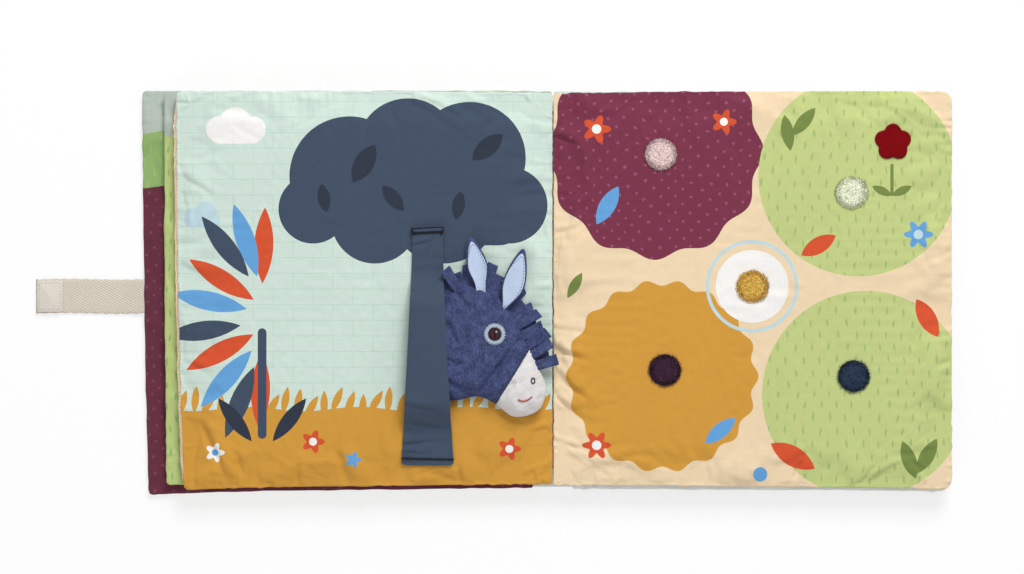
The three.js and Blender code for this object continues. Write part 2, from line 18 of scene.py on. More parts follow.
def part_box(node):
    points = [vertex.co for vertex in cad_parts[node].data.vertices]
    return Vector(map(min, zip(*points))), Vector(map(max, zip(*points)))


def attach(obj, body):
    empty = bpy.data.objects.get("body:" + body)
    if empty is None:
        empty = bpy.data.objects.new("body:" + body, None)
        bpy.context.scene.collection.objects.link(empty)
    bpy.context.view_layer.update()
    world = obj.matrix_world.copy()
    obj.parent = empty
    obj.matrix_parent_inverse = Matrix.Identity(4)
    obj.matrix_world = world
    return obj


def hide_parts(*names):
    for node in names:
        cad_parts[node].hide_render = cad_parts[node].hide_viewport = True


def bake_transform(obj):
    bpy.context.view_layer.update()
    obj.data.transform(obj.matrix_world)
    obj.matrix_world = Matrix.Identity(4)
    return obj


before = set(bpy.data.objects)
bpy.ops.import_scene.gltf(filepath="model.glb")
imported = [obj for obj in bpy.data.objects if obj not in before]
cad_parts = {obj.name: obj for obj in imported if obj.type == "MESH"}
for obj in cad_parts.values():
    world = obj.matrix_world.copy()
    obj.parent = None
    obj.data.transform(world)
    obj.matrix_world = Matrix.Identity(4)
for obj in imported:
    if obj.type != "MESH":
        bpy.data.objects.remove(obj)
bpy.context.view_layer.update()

bl_info = {
    "name": "Padded cloth book",
    "version": (1, 0, 0),
    "blender": (4, 5, 0),
    "location": "3D View > Sidebar > Cloth Book",
    "description": "Dresses the packed cloth book with padded leaves, prints, stitches and a finger puppet",
    "category": "Object",
}

MM = 0.001

# The photograph: its frame, its scale at page level, and the pixel under the middle of the gutter
PHOTO_WIDTH, PHOTO_HEIGHT = 1024, 574
PHOTO_SCALE = 0.55 * MM
GUTTER_PX = (553, 289)

# Kinds of node
MATH = "ShaderNodeMath"
VMATH = "ShaderNodeVectorMath"
MIX = "ShaderNodeMix"
RANGE = "ShaderNodeMapRange"
NOISE = "ShaderNodeTexNoise"
BUMP = "ShaderNodeBump"
SEPARATE = "ShaderNodeSeparateXYZ"
PRINCIPLED = "ShaderNodeBsdfPrincipled"
OUTPUT = "ShaderNodeOutputMaterial"

# Sockets of a Mix node for colours: the share, the two colours, and the colour that comes out
SHARE, UNDER, OVER, MIXED = 0, 6, 7, 2


def linear(hex_colour):
    """An sRGB hex colour as linear red, green, blue and alpha."""
    parts = [int(hex_colour[i:i + 2], 16) / 255 for i in (1, 3, 5)]
    return [c / 12.92 if c <= 0.04045 else ((c + 0.055) / 1.055) ** 2.4 for c in parts] + [1.0]


def colour_property(name, description, hex_colour):
    """A colour that a user can change, with its default written as sRGB hex."""
    return bpy.props.FloatVectorProperty(
        name=name, description=description, subtype="COLOR", size=4, min=0, max=1,
        default=linear(hex_colour),
    )


class ClothBookSizes(bpy.types.PropertyGroup):
    """Sizes that a user would change."""

    cell: bpy.props.FloatProperty(
        name="Cloth cell", description="Spacing of the cloth's grid on the open pages",
        default=2.0 * MM, min=1.5 * MM, max=8 * MM, unit="LENGTH",
    )
    slack: bpy.props.FloatProperty(
        name="Slack", description="How much larger each cloth is cut than its seam, as a share",
        default=0.02, min=0, max=0.1, subtype="FACTOR",
    )
    pressure: bpy.props.FloatProperty(
        name="Wadding pressure", description="How hard the wadding pushes the cloth outwards",
        default=2.2, min=0, max=20,
    )
    stitch: bpy.props.FloatProperty(
        name="Stitch length", description="Length of one stitch of the seams that show",
        default=2.6 * MM, min=1 * MM, max=6 * MM, unit="LENGTH",
    )
    thread: bpy.props.FloatProperty(
        name="Thread", description="Thickness of the sewing thread",
        default=0.45 * MM, min=0.1 * MM, max=1.5 * MM, unit="LENGTH",
    )
    pile: bpy.props.FloatProperty(
        name="Loop height", description="Height of the loops on a touch disc",
        default=0.7 * MM, min=0.4 * MM, max=3 * MM, unit="LENGTH",
    )


class ClothBookColours(bpy.types.PropertyGroup):
    """Colours that a user would change."""

    mint: colour_property("Mint", "Ground of the open left page", "#cddfd4")
    brick: colour_property("Brick lines", "Faint lines over the mint ground", "#bfd6c9")
    sand: colour_property("Sand", "Ground of the open right page", "#ebd3af")
    navy: colour_property("Navy", "Crown of the tree and the strap", "#3c4a5e")
    ink: colour_property("Ink", "Darkest parts of the print", "#28303f")
    ochre: colour_property("Ochre", "Ground band and one round", "#cf9739")
    orange: colour_property("Orange", "Warm leaves and flowers", "#d4512b")
    sky: colour_property("Sky", "Light blue leaves", "#62a0d6")
    maroon: colour_property("Maroon", "Dotted cloth", "#752d45")
    # Wine and claret are the maroon cloth and its dots made darker for the strip of the front cover that
    # lies low beside the pages: painted shade.
    wine: colour_property("Wine", "Dotted cloth inside the front cover", "#63283a")
    dot: colour_property("Dots", "Dots on the maroon cloth", "#92506a")
    claret: colour_property("Claret", "Faint dots on the wine cloth", "#7b4055")
    green: colour_property("Green", "Dashed cloth", "#bfcb83")
    dash: colour_property("Dashes", "Dashes on the green cloth", "#9fb873")
    lime: colour_property("Lime", "Dashed cloth of the leaf under the left page", "#b8c97f")
    moss: colour_property("Moss", "Green band inside the front cover", "#8fb06b")
    leaf: colour_property("Leaf", "Small leaves and stems", "#728542")
    white: colour_property("White", "Clouds and the white round", "#f1efec")
    pale: colour_property("Pale blue", "Small clouds and rings", "#bcd6de")
    cloud: colour_property("Cloud grey", "Grey band inside the front cover", "#b2beb4")
    tape: colour_property("Tape", "Twill closing tape", "#d8cfc0")
    fleece: colour_property("Fleece", "Puppet's coat", "#343f66")
    felt: colour_property("Felt", "Ear linings", "#bccce4")
    cream: colour_property("Cream", "Puppet's muzzle", "#e0dedd")
    velvet: colour_property("Velvet", "Flower sewn on the right page", "#7a040c")


def paint(name):
    """A colour of the book by its name."""
    return list(getattr(bpy.context.scene.cloth_book_colours, name))


def sizes():
    """The sizes that a user can change."""
    return bpy.context.scene.cloth_book_sizes


# Shader building


def add(tree, kind, inputs=None, **settings):
    """Adds a node, sets it up, and fills or links its inputs. A node as an input means its first output."""
    node = tree.nodes.new(kind)
    for key, value in settings.items():
        setattr(node, key, value)
    for key, value in (inputs or {}).items():
        if isinstance(value, bpy.types.Node):
            value = value.outputs[0]
        if isinstance(value, bpy.types.NodeSocket):
            tree.links.new(value, node.inputs[key])
        else:
            node.inputs[key].default_value = value
    return node


def new_material(name):
    material = bpy.data.materials.new(name)
    material.use_nodes = True
    material.node_tree.nodes.clear()
    return material, material.node_tree


def page_point(tree):
    """The point on the page in millimetres, with no height, so that a print falls straight on the cloth."""
    place = add(tree, "ShaderNodeTexCoord").outputs["Object"]
    return add(tree, VMATH, {0: place, 1: (1 / MM, 1 / MM, 0)}, operation="MULTIPLY")


def cloth_point(tree):
    """The point on a piece in millimetres."""
    place = add(tree, "ShaderNodeTexCoord").outputs["Object"]
    return add(tree, VMATH, {0: place, 1: (1 / MM,) * 3}, operation="MULTIPLY")


def shaded(tree, colour, value, low, high, at_low, at_high):
    """A colour multiplied by a share that goes with a value: at_low to at_high."""
    amount = add(tree, RANGE, {0: value, 1: low, 2: high, 3: at_low, 4: at_high})
    return add(tree, MIX, {SHARE: 1.0, UNDER: colour, OVER: amount}, data_type="RGBA",
               blend_type="MULTIPLY").outputs[MIXED]


# Shapes of the print. Each gives the distance outside its edge in millimetres, negative inside.


def disc(tree, point, x, y, radius):
    away = add(tree, VMATH, {0: point, 1: (x, y, 0)}, operation="DISTANCE").outputs["Value"]
    return add(tree, MATH, {0: away, 1: radius}, operation="SUBTRACT")


def ring(tree, point, x, y, radius, half_width):
    off = add(tree, MATH, {0: disc(tree, point, x, y, radius)}, operation="ABSOLUTE")
    return add(tree, MATH, {0: off, 1: half_width}, operation="SUBTRACT")


def bar(tree, point, x0, y0, x1, y1, half_width):
    """A straight bar with round ends."""
    run = Vector((x1 - x0, y1 - y0, 0))
    start = add(tree, VMATH, {0: point, 1: (x0, y0, 0)}, operation="SUBTRACT")
    along = add(tree, VMATH, {0: start, 1: run / run.length_squared}, operation="DOT_PRODUCT")
    held = add(tree, "ShaderNodeClamp", {0: along.outputs["Value"]})
    foot = add(tree, VMATH, {0: run, "Scale": held}, operation="SCALE")
    away = add(tree, VMATH, {0: start, 1: foot}, operation="DISTANCE").outputs["Value"]
    return add(tree, MATH, {0: away, 1: half_width}, operation="SUBTRACT")


def leaf(tree, point, x, y, length, width, degrees):
    """A pointed leaf: what two equal discs share. Its long axis is turned by degrees from +X."""
    half, thick = length / 2, width / 2
    radius = (half ** 2 + thick ** 2) / (2 * thick)
    shift = radius - thick
    turn = math.radians(degrees)
    side = Vector((-math.sin(turn), math.cos(turn))) * shift
    one = disc(tree, point, x + side.x, y + side.y, radius)
    two = disc(tree, point, x - side.x, y - side.y, radius)
    return add(tree, MATH, {0: one, 1: two}, operation="MAXIMUM")


def flower(tree, point, x, y, radius, petals, depth, turn=0.0):
    """A round with a lobed edge."""
    start = add(tree, VMATH, {0: point, 1: (x, y, 0)}, operation="SUBTRACT")
    parts = add(tree, SEPARATE, {0: start})
    angle = add(tree, MATH, {0: parts.outputs[1], 1: parts.outputs[0]}, operation="ARCTAN2")
    wound = add(tree, MATH, {0: angle, 1: petals, 2: turn}, operation="MULTIPLY_ADD")
    lobe = add(tree, MATH, {0: wound}, operation="COSINE")
    edge = add(tree, MATH, {0: lobe, 1: depth, 2: radius - depth}, operation="MULTIPLY_ADD")
    away = add(tree, VMATH, {0: start}, operation="LENGTH").outputs["Value"]
    return add(tree, MATH, {0: away, 1: edge}, operation="SUBTRACT")


def below(tree, point, height, wave, pitch, slope=0.0):
    """All that lies under a waved line."""
    parts = add(tree, SEPARATE, {0: point})
    turned = add(tree, MATH, {0: parts.outputs[0], 1: 2 * math.pi / pitch}, operation="MULTIPLY")
    lift = add(tree, MATH, {0: turned}, operation="SINE")
    hump = add(tree, MATH, {0: lift, 1: wave, 2: height}, operation="MULTIPLY_ADD")
    line = add(tree, MATH, {0: parts.outputs[0], 1: slope, 2: hump}, operation="MULTIPLY_ADD")
    return add(tree, MATH, {0: parts.outputs[1], 1: line}, operation="SUBTRACT")


SHAPES = {"disc": disc, "ring": ring, "bar": bar, "leaf": leaf, "flower": flower, "below": below}


def union(tree, point, shapes):
    """1 inside any of the shapes, 0 outside them all."""
    nearest = None
    for kind, *numbers in shapes:
        reach = SHAPES[kind](tree, point, *numbers)
        if nearest is None:
            nearest = reach
        else:
            nearest = add(tree, MATH, {0: nearest, 1: reach}, operation="MINIMUM")
    return add(tree, MATH, {0: nearest, 1: 0.0}, operation="LESS_THAN")


def strewn(tree, point, cell, stroke):
    """1 on small marks in staggered rows. cell is the spacing across and up, stroke a mark's half size."""
    marks = []
    for shift in (0.0, 0.5):
        moved = add(tree, VMATH, {0: point, 1: (cell[0] * shift, cell[1] * shift, 0)}, operation="ADD")
        held = add(tree, VMATH, {0: moved, 1: (*cell, 1), 2: (0, 0, 0)}, operation="WRAP")
        centred = add(tree, VMATH, {0: held, 1: (cell[0] / 2, cell[1] / 2, 0)}, operation="SUBTRACT")
        shaped = add(tree, VMATH, {0: centred, 1: (*stroke, 1)}, operation="DIVIDE")
        marks.append(add(tree, VMATH, {0: shaped}, operation="LENGTH").outputs["Value"])
    nearest = add(tree, MATH, {0: marks[0], 1: marks[1]}, operation="MINIMUM")
    soft = add(tree, RANGE, {0: nearest, 1: 0.6, 2: 1.3, 3: 1.0, 4: 0.0})
    return soft.outputs[0]


def mint_bricks(tree, point):
    """Faint brick lines on the mint ground."""
    bricks = add(
        tree, "ShaderNodeTexBrick",
        {"Vector": point, "Color1": paint("mint"), "Color2": paint("mint"), "Mortar": paint("brick"),
         "Scale": 1.0, "Mortar Size": 0.35, "Mortar Smooth": 0.6, "Brick Width": 22.0,
         "Row Height": 8.6},
        offset=0.5)
    return bricks.outputs["Color"]


def wander(tree, point, reach):
    """Shifts a pattern a little from place to place, so that its rows aren't ruled. reach is in mm."""
    drift = add(tree, NOISE, {"Vector": point, "Scale": 0.045, "Detail": 0.0})
    centred = add(tree, VMATH, {0: drift.outputs[1], 1: (0.5, 0.5, 0.5)}, operation="SUBTRACT")
    shift = add(tree, VMATH, {0: centred, 1: (reach, reach, 0)}, operation="MULTIPLY")
    return add(tree, VMATH, {0: point, 1: shift}, operation="ADD")


# The marks of the strewn prints, in millimetres: spacing across and up, half size, and drift of the rows
DOT_CELL, DOT_HALF, DOT_DRIFT = (9, 9), (0.78, 0.78), 8
DASH_CELL, DASH_HALF, DASH_DRIFT = (9.2, 13), (0.6, 2.1), 6


def dotted(tree, point, ground, mark):
    """Small faint dots."""
    dots = strewn(tree, wander(tree, point, DOT_DRIFT), DOT_CELL, DOT_HALF)
    return add(tree, MIX, {SHARE: dots, UNDER: ground, OVER: mark}, data_type="RGBA").outputs[MIXED]


def dashed(tree, point, ground, mark):
    """Short upright dashes, like blades of grass."""
    dashes = strewn(tree, wander(tree, point, DASH_DRIFT), DASH_CELL, DASH_HALF)
    return add(tree, MIX, {SHARE: dashes, UNDER: ground, OVER: mark}, data_type="RGBA").outputs[MIXED]


PATTERNS = {
    "bricks": mint_bricks,
    "dots": lambda tree, point: dotted(tree, point, paint("maroon"), paint("dot")),
    "wine dots": lambda tree, point: dotted(tree, point, paint("wine"), paint("claret")),
    "dashes": lambda tree, point: dashed(tree, point, paint("green"), paint("dash")),
    "lime dashes": lambda tree, point: dashed(tree, point, paint("lime"), paint("moss")),
    "moss dashes": lambda tree, point: dashed(tree, point, paint("moss"), paint("dash")),
}


def painted(tree, point, name):
    return PATTERNS[name](tree, point) if name in PATTERNS else paint(name)


def cotton_finish(tree, colour, weave=0.35, thread_mm=0.55):
    """Printed plain-weave cotton: matt, with a soft sheen at grazing light and faint uneven threads, the
    raised ones painted a little lighter and the low ones a little darker as painted shade.
    """
    mm = cloth_point(tree)
    slubs = []
    for stretch in ((0.16, 1.7, 0.4), (1.7, 0.16, 0.4)):
        long_way = add(tree, VMATH, {0: mm, 1: stretch}, operation="MULTIPLY")
        slubs.append(add(tree, NOISE, {"Vector": long_way, "Scale": 1.0, "Detail": 2.0}))
    threads = add(tree, MATH, {0: slubs[0].outputs[0], 1: slubs[1].outputs[0]}, operation="ADD")
    parts = add(tree, SEPARATE, {0: mm})
    waves = []
    for axis in (0, 1):
        turned = add(tree, MATH, {0: parts.outputs[axis], 1: math.pi / thread_mm}, operation="MULTIPLY")
        waves.append(add(tree, MATH, {0: turned}, operation="SINE"))
    weave_height = add(tree, MATH, {0: waves[0], 1: waves[1]}, operation="MULTIPLY")
    height = add(tree, MATH, {0: weave_height, 1: 0.25, 2: threads}, operation="MULTIPLY_ADD")
    bump = add(tree, BUMP, {"Height": height, "Strength": weave, "Distance": 0.12 * MM})
    drift = add(tree, NOISE, {"Vector": mm, "Scale": 0.035, "Detail": 3.0})
    faded = shaded(tree, colour, drift, 0.3, 0.7, 0.975, 1.02)
    # Painted shade: the colour follows the threads' bump height, darker where they lie low and lighter on
    # the raised slubs.
    tone_and_painted_light = shaded(tree, faded, threads, 0.6, 1.4, 0.955, 1.035)
    shader = add(
        tree, PRINCIPLED,
        {"Base Color": tone_and_painted_light, "Roughness": 0.82, "Normal": bump, "Sheen Weight": 0.12,
         "Sheen Roughness": 0.5, "Specular IOR Level": 0.25})
    add(tree, OUTPUT, {0: shader})


def printed_cotton(name, ground, layers):
    """Cotton with a ground and layers printed over it: each is a colour or pattern, and its shapes."""
    material, tree = new_material(name)
    point = page_point(tree)
    colour = painted(tree, point, ground)
    for layer, shapes in layers:
        inside = union(tree, point, shapes)
        ink = painted(tree, point, layer)
        colour = add(tree, MIX, {SHARE: inside, UNDER: colour, OVER: ink}, data_type="RGBA").outputs[MIXED]
    cotton_finish(tree, colour)
    return material


# Prints. Places are millimetres on the open book, from the middle of the gutter.


def left_page_layers():
    """A round tree whose trunk is the strap, on an ochre meadow, with leaves and clouds."""
    crown = [
        ("disc", -112, 62, 33), ("disc", -80, 77, 28), ("disc", -46, 72, 31), ("disc", -24, 46, 21),
        ("disc", -60, 44, 30), ("disc", -98, 38, 24), ("disc", -132, 44, 19),
        ("bar", -100, 40, -30, 40, 16),
    ]
    sprays = {"orange": [], "sky": [], "navy": []}
    for i in range(10):
        angle = 88 + i * 20
        reach = 40 + 5 * (i % 3)
        x = -160 + reach * 0.66 * math.cos(math.radians(angle))
        y = -16 + reach * math.sin(math.radians(angle))
        sprays[("orange", "sky", "navy")[i % 3]].append(("leaf", x, y, 42, 10.5, angle))
    grass = [
        ("leaf", -204 + i * 7.1, -63 + 2.2 * math.sin(i * 1.7), 15, 4.2, 74 + 16 * math.sin(i * 2.4))
        for i in range(29)
    ]
    blossoms = [(-132, -84, 6.5), (-24, -88, 6.5), (-186, -90, 5.5), (-110, -94, 4.6)]
    return [
        ("white", [("disc", -184, 88, 7), ("disc", -175, 91, 9), ("disc", -165, 88, 7),
                   ("bar", -184, 84, -165, 84, 4)]),
        ("pale", [("disc", -198, 40, 5), ("disc", -191, 42, 6), ("bar", -200, 37, -186, 37, 3)]),
        ("navy", crown),
        ("ink", [("leaf", -104, 69, 24, 11, 60), ("leaf", -88, 50, 18, 8, 130),
                 ("leaf", -126, 50, 16, 7, 100), ("leaf", -36, 78, 22, 10, 40),
                 ("leaf", -52, 46, 16, 7, 80)]),
        ("ochre", [*grass, ("below", -66, 1.2, 61)]),
        *sprays.items(),
        ("navy", [("bar", -160, -24, -160, -80, 2.4)]),
        ("ink", [("leaf", -160 + 15 * s, -72, 30, 8, 90 - 38 * s) for s in (-1, 1)]),
        ("orange", [("flower", x, y, radius, 5, 0.22 * radius) for x, y, radius in blossoms[:2]]),
        ("white", [("flower", *blossoms[2], 5, 1.2), *(("disc", x, y, 2.2) for x, y, _ in blossoms[:2])]),
        ("sky", [("flower", *blossoms[3], 5, 1.1), ("disc", *blossoms[2][:2], 1.8)]),
    ]


def right_page_layers():
    """Each touch disc lies in the middle of a large round, on a sand ground."""
    return [
        ("dots", [("flower", 56, 76, 60, 12, 2.0)]),
        ("dashes", [("disc", 168, 62, 55)]),
        ("ochre", [("flower", 60, -48, 53, 18, 1.6)]),
        ("dashes", [("disc", 172, -58, 57)]),
        ("white", [("disc", 109.5, 1.5, 20)]),
        ("orange", [("flower", 24, 88, 8, 5, 1.9), ("flower", 94, 92, 7, 5, 1.6),
                    ("leaf", 146, 24, 22, 9, 30), ("leaf", 206, -16, 24, 10, 120),
                    ("leaf", 132, -92, 28, 11, 150), ("flower", 24, -86, 8, 6, 1.8)]),
        ("white", [("disc", 24, 88, 2.6), ("disc", 94, 92, 2.2), ("disc", 24, -86, 2.6)]),
        ("sky", [("leaf", 30, 46, 24, 9, 60), ("flower", 201, 30, 8, 6, 1.8), ("disc", 114, -102, 4),
                 ("leaf", 92, -78, 22, 8, 40)]),
        ("leaf", [("leaf", 138, 92, 20, 7, 50), ("leaf", 129, 86, 20, 7, 100),
                  ("leaf", 206, -92, 22, 8, 60), ("leaf", 196, -94, 22, 8, 110),
                  ("leaf", 12, 2, 16, 5.5, 60), ("bar", 186.5, 68, 186.5, 52, 0.9),
                  ("leaf", 192, 54, 12, 4.5, 25), ("leaf", 181, 54, 12, 4.5, 155)]),
        ("pale", [("disc", 201, 30, 2.6), ("ring", 109.5, 1.5, 24.5, 0.9)]),
    ]


def inside_cover_layers():
    """Bands of plain colour, of which the strip beside the pages shows."""
    return [
        ("cloud", [("below", 240, 0, 100)]),
        ("moss dashes", [("below", 122, 0, 100, 0.16)]),
        # The dotted band is the maroon print darkened as painted shade, where the cover lies low beside the
        # pages.
        ("wine dots", [("below", 84, 0, 100, 0.125)]),
    ]


def leaf_1_layers():
    return [
        ("cloud", [("below", 240, 0, 100)]),
        ("lime dashes", [("below", 86, 2, 90)]),
        ("sky", [("flower", -150, -40, 30, 7, 5), ("flower", -60, 20, 24, 7, 4)]),
        ("white", [("disc", -150, -40, 10), ("disc", -60, 20, 8)]),
    ]


def bloom_layers(x, petal_colour, heart_colour, corner_colour):
    """One large plain bloom and four small ones, for a page that is hidden at rest."""
    corners = [(x + 66 * a, 70 * b) for a in (-1, 1) for b in (-1, 1)]
    return [
        (petal_colour, [("flower", x, 0, 58, 9, 6)]),
        (heart_colour, [("disc", x, 0, 24)]),
        (corner_colour, [("flower", *corner, 17, 6, 3.5) for corner in corners]),
        ("white", [("disc", *corner, 5.5) for corner in corners]),
    ]


def outer_cover_layers(x):
    """A meadow with a plain sun and three flowers."""
    stems = (x - 46, x, x + 46)
    return [
        ("ochre", [("disc", x - 40, 58, 24)]),
        ("dashes", [("below", -34, 7, 150)]),
        ("navy", [("bar", stem, -36, stem, -92, 1.6) for stem in stems]),
        ("leaf", [("leaf", stem + 9 * s, -74, 20, 7, 90 - 45 * s) for stem in stems for s in (-1, 1)]),
        ("orange", [("flower", x - 46, -30, 18, 6, 4), ("flower", x + 46, -30, 18, 6, 4)]),
        ("maroon", [("flower", x, -26, 20, 6, 4)]),
        ("white", [("disc", stem, -29, 6) for stem in stems]),
    ]


# Padded leaves

ROLL_WIDTH = 16 * MM
CORNER_RADIUS = {-1: 3.6 * MM, 1: 6.8 * MM}
INNER_CORNER = 1.5 * MM
SIDE_PULL = 0.2 * MM
FOOT_RISE = 2.0 * MM
FOOT_SAG = 1.4 * MM
HEAD_DIP = 1.2 * MM
GUTTER_WANDER = 0.3 * MM
FRONT_COVER_SKEW = 3.5 * MM
LEAF_1_SKEW = 1.3 * MM
LEFT_PAGE_SKEW = 4.3 * MM
PAGE_CROWN = 0.8 * MM
CREVICE = 1.25 * MM
EDGE_FINENESS = 0.45
EDGE_RIPPLE = 0.5 * MM
SKEW_POWER = 2.2
FOOT_SAG_SHARE = 0.15
FOOT_REACH = 0.6 * MM
PAGE_HEAD_REACH = 0.6 * MM
HIDDEN_HEAD_REACH = 1.1 * MM
WELD = 0.02 * MM

# Stuffing: how far the wadding may push the cloth, and how firmly its middle is held
SWELL_LIMIT = 2.0 * MM
MIDDLE_HOLD = 0.3
HOLD_START = 8 * MM
HOLD_SPAN = 30 * MM
PAGE_STEPS = 14
HIDDEN_STEPS = 9
HIDDEN_CELL_SHARE = 1.8

# The seam: a wave in the cloth beside it, tucks in millimetres, and the lower cloth that bulges past it
SEAM_WAVE = 0.8 * MM
SEAM_WAVE_START = 2.5 * MM
SEAM_WAVE_REACH = 8 * MM
RIPPLE_LENGTHS = (5.2, 7.7, 11.9, 19.3)
SWELL_LENGTH = 67 * MM
TUCK_WIDTHS = (0.7, 1.5)
TUCK_REACHES = (2.0, 6.5)
TUCK_SHARES = (0.3, 1.0)
TUCK_STEPS = (4, 6, 7, 9, 14, 21)
TUCK_DEPTH = 1.7 * MM
TUCK_START = 0.8 * MM
FOLD_START = 1.5 * MM
FOLD_ROOM = 0.6 * MM
PAD_ROOM = 0.12 * MM
PAD_FLOOR = 0.02 * MM
BULGE_REACH = 1.7 * MM
BULGE_MM = 0.4
BAGGY_MM = 2.4
BAGGY_ENDS = 15 * MM
LEAST_UPPER_SHARE, LEAST_LOWER_SHARE = 0.2, 0.35
STRAP_MARGIN = 2 * MM

# Each leaf: its side of the gutter, how far its outer edge slants in towards the foot, its domed height,
# its seed, how much of the foot's rise it has, and in millimetres how much its foot is cut back (trim)
# and its outer edge let out (reach)
Leaf = namedtuple("Leaf", "side skew crown seed raised trim reach")
LEAVES = {
    "front_cover": Leaf(-1, FRONT_COVER_SKEW, 0.0, 1, 1.2, -0.8, 0.4),
    "leaf_1": Leaf(-1, LEAF_1_SKEW, 0.0, 2, 0.7, 1.7, 1.6),
    "leaf_2": Leaf(-1, LEFT_PAGE_SKEW, PAGE_CROWN, 3, 1.0, -0.5, 1.0),
    "back_cover": Leaf(1, 0.0, 0.0, 4, 0.5, 1.0, 0.4),
    "leaf_4": Leaf(1, 0.0, 0.0, 5, 0.5, 1.1, 0.4),
    "leaf_3": Leaf(1, 0.0, PAGE_CROWN, 6, 0.75, -0.3, 0.4),
}

# Folds of the open pages, seen in the photograph: from x, y to x, y, half width and height, all in
# millimetres on the page
PAGE_FOLDS = {
    "leaf_2": [
        (-191, -80, -178, -109, 5.0, 1.3), (-174, -92, -170, -109, 4.0, 0.7),
        (-118, -92, -113, -110, 5.0, 1.1), (-140, -98, -141, -110, 3.0, 0.6),
        (-1, -90, -26, -101, 4.0, 1.2), (-1, -70, -20, -76, 3.2, 0.9), (-1, -80, -14, -84, 2.4, 0.6),
        (-1, 92, -20, 97, 3.0, 0.5), (-52, -98, -50, -110, 2.6, 0.6), (-30, -100, -34, -110, 2.6, 0.5),
        (-202, 60, -184, 50, 3.4, 0.5), (-204, 12, -188, 6, 3.4, 0.5), (-203, -40, -186, -48, 3.6, 0.6),
        (-92, -99, -94, -110, 2.4, 0.5),
    ],
    "leaf_3": [
        (0, -33, 24, -41, 3.2, 1.3), (0, -45, 22, -64, 3.6, 1.5), (0, -58, 16, -72, 2.8, 0.9),
        (0, -22, 20, -24, 2.6, 0.8), (0, -84, 22, -90, 3.0, 0.8), (0, 30, 20, 36, 2.8, 0.6),
        (0, 58, 18, 64, 3.0, 0.6), (0, 84, 18, 78, 3.0, 0.7), (36, -98, 33, -109, 2.4, 0.8),
        (52, -99, 51, -109, 2.0, 0.6), (84, -98, 87, -109, 2.8, 0.8), (136, -97, 130, -110, 3.0, 0.9),
        (176, -99, 168, -110, 2.4, 0.8), (206, -102, 192, -90, 3.8, 0.8), (108, -100, 110, -109, 2.0, 0.6),
        (218, 20, 202, 14, 3.2, 0.5), (218, -40, 203, -46, 3.2, 0.5), (70, 108, 74, 98, 2.6, 0.5),
        (150, -101, 147, -110, 1.8, 0.6),
    ],
}


def link(name, mesh):
    obj = bpy.data.objects.new(name, mesh)
    bpy.context.scene.collection.objects.link(obj)
    return obj


def smooth(mesh):
    mesh.polygons.foreach_set("use_smooth", [True] * len(mesh.polygons))


def read_points(mesh):
    points = np.zeros(len(mesh.vertices) * 3)
    mesh.vertices.foreach_get("co", points)
    return points.reshape(-1, 3)


def write_points(mesh, points):
    mesh.vertices.foreach_set("co", np.asarray(points, np.float32).ravel())
    mesh.update()


def finish_mesh(name, made, *materials):
    """Turns a bmesh into a smooth object with its materials."""
    mesh = bpy.data.meshes.new(name)
    made.to_mesh(mesh)
    made.free()
    smooth(mesh)
    for material in materials:
        mesh.materials.append(material)
    return link(name, mesh)


def of_kind(elements, kind):
    """The vertices, edges or faces among what a bmesh operator gives back."""
    return [e for e in elements if isinstance(e, kind)]


def face_outwards(made):
    bmesh.ops.recalc_face_normals(made, faces=made.faces[:])


def ease(t):
    """Goes from 0 to 1 with no corner at either end."""
    return t * t * (3 - 2 * t)


def apply_modifiers(obj):
    """Puts what the modifiers make into the mesh."""
    evaluated = obj.evaluated_get(bpy.context.evaluated_depsgraph_get())
    mesh = bpy.data.meshes.new_from_object(evaluated)
    obj.modifiers.clear()
    obj.data = mesh
    smooth(mesh)


def soften(obj, levels=1):
    subdivide = obj.modifiers.new("Soft", "SUBSURF")
    subdivide.levels = subdivide.render_levels = levels


def thicken(obj, thickness, offset=0.0):
    solid = obj.modifiers.new("Thickness", "SOLIDIFY")
    solid.thickness = thickness
    solid.offset = offset


def round_edges(obj, name, width, segments):
    bevel = obj.modifiers.new(name, "BEVEL")
    bevel.width = width
    bevel.segments = segments
    bevel.limit_method = "ANGLE"


def dress(piece, body, slot, *nodes):
    """Puts a piece on its body, in place of its nodes. The slot is not used."""
    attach(piece, body)
    if nodes:
        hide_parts(*nodes)


def surface(obj):
    """What rays can be cast at to find the height of a piece."""
    return BVHTree.FromObject(obj, bpy.context.evaluated_depsgraph_get())


def height_at(tree, x, y):
    hit = tree.ray_cast(Vector((x, y, 100 * MM)), Vector((0, 0, -1)))
    return hit[0].z


def puckers(along, gap, seed):
    """Sharp little tucks at uneven distances along a seam, that run a few millimetres into the cloth."""
    rng = random.Random(seed)
    tuck = np.zeros(len(along))
    place = along.min()
    while place < along.max():
        width = rng.uniform(*TUCK_WIDTHS)
        reach = rng.uniform(*TUCK_REACHES)
        depth = rng.uniform(*TUCK_SHARES)
        near = np.exp(-((along - place) / (width * MM)) ** 2)
        tuck = np.maximum(tuck, depth * near * np.exp(-gap / (reach * MM)))
        place += rng.choice(TUCK_STEPS) * MM
    return tuck


def ripple(along, seed):
    """An uneven wave between about -1 and 1 along a seam, from its length in metres."""
    wave = 0
    for k, length in enumerate(RIPPLE_LENGTHS):
        wave = wave + np.sin(2 * math.pi * along / (length * MM) + seed * 1.7 + k * 2.3) / (1 + 0.25 * k)
    swell = 0.55 + 0.45 * np.sin(2 * math.pi * along / SWELL_LENGTH + seed * 2.9)
    return wave * swell / 2


